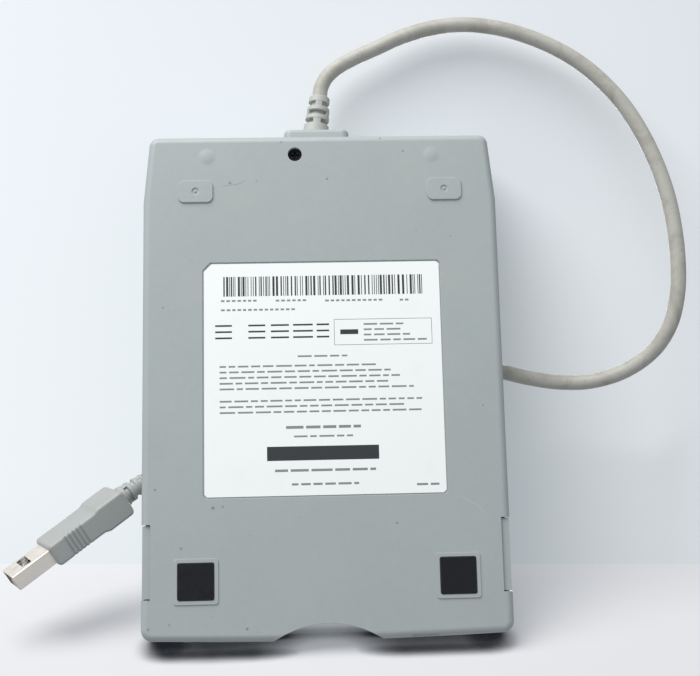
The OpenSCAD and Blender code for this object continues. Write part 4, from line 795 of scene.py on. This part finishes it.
def steps(start, direction, length, overlap=1.4, skew=0):
    """Quads that face down, stepped along a slanting plane whose direction has a rising y.

    skew is how far the plane moves away from the camera for each unit of x.
    """
    quads = []
    rise = direction.y * STAGE_STEP
    for i in range(int(length / STAGE_STEP)):
        p = start + direction * (i * STAGE_STEP)
        y0, y1 = p.y - rise * (overlap - 1), p.y + rise * overlap
        quads.append([(x * MM, (y + skew * away.y * x) * MM, (p.z + skew * away.z * x) * MM) for x, y in (
            (-STAGE_HALF_W, y0), (-STAGE_HALF_W, y1), (STAGE_HALF_W, y1), (STAGE_HALF_W, y0))])
    return quads


# The drive leans back by LEAN in the picture, so floor and wall lean the other way around it
LEAN = math.radians(19)
FLOOR_BELOW, WALL_BEHIND = 76.0, 47
FLOOR_IN_FRONT, FLOOR_UNDER_WALL, WALL_H = 170, 12, 460
WALL_OVERLAP, WALL_SKEW = 2.2, 0.068
TABLE_HALF = 4.0
floor_up = Vector((0, math.cos(LEAN), -math.sin(LEAN)))
away = Vector((0, math.sin(LEAN), math.cos(LEAN)))
corner = -FLOOR_BELOW * floor_up + WALL_BEHIND * away
stage_mesh("photo_floor", steps(corner - FLOOR_IN_FRONT * away, away, FLOOR_IN_FRONT + FLOOR_UNDER_WALL),
           one_sided("photo_floor_paper", (249, 249, 252), floor_up))
# The wall's colour is painted darker further up, as painted shade against the nearer key light
stage_mesh("photo_wall", steps(corner, floor_up, WALL_H, WALL_OVERLAP, WALL_SKEW),
           one_sided("photo_wall_paper", (239, 244, 247), high=(217, 222, 227)))
stage_mesh("table", [[(x * TABLE_HALF, y * TABLE_HALF, 0) for x, y in ((-1, -1), (1, -1), (1, 1), (-1, 1))]],
           one_sided("table_paper", (236, 238, 240)))


LIGHT_COLOUR = (1.0, 0.99, 0.97)
LIGHT_TARGET = Vector((0, 0, 10))


def area_light(name, place, width, power):
    """A soft round light aimed at the drive."""
    data = bpy.data.lights.new(name, "AREA")
    data.shape = "DISK"
    data.size = width * MM
    data.energy = power
    data.color = LIGHT_COLOUR
    obj = bpy.data.objects.new(name, data)
    scene.collection.objects.link(obj)
    direction = (LIGHT_TARGET - Vector(place)).normalized()
    facing = direction.to_track_quat("-Z", "Y").to_matrix().to_4x4()
    obj.matrix_world = Matrix.Translation(Vector(place) * MM) @ facing


area_light("photo_key", (300, 640, -400), 740, 8.2)
area_light("top_key", (-120, 180, 900), 520, 4.0)

# Soft light from all round, and an even backdrop where nothing else is seen
world = bpy.data.worlds.new("studio")
scene.world = world
world.use_nodes = True
nodes, links = world.node_tree.nodes, world.node_tree.links
nodes.clear()
out = nodes.new("ShaderNodeOutputWorld")
mix = nodes.new("ShaderNodeMixShader")
links.new(nodes.new("ShaderNodeLightPath").outputs["Is Camera Ray"], mix.inputs[0])
for slot, (colour, strength) in enumerate((((244, 248, 252), 0.487), ((232, 237, 240), 1.0)), 1):
    background = nodes.new("ShaderNodeBackground")
    background.inputs["Color"].default_value = linear(*colour)
    background.inputs["Strength"].default_value = strength
    links.new(background.outputs[0], mix.inputs[slot])
links.new(mix.outputs[0], out.inputs[0])

# A view from above passes many of the stage's one-sided steps
SEE_THROUGH_LAYERS = 64
scene.view_settings.view_transform = "Standard"
scene.cycles.transparent_max_bounces = SEE_THROUGH_LAYERS
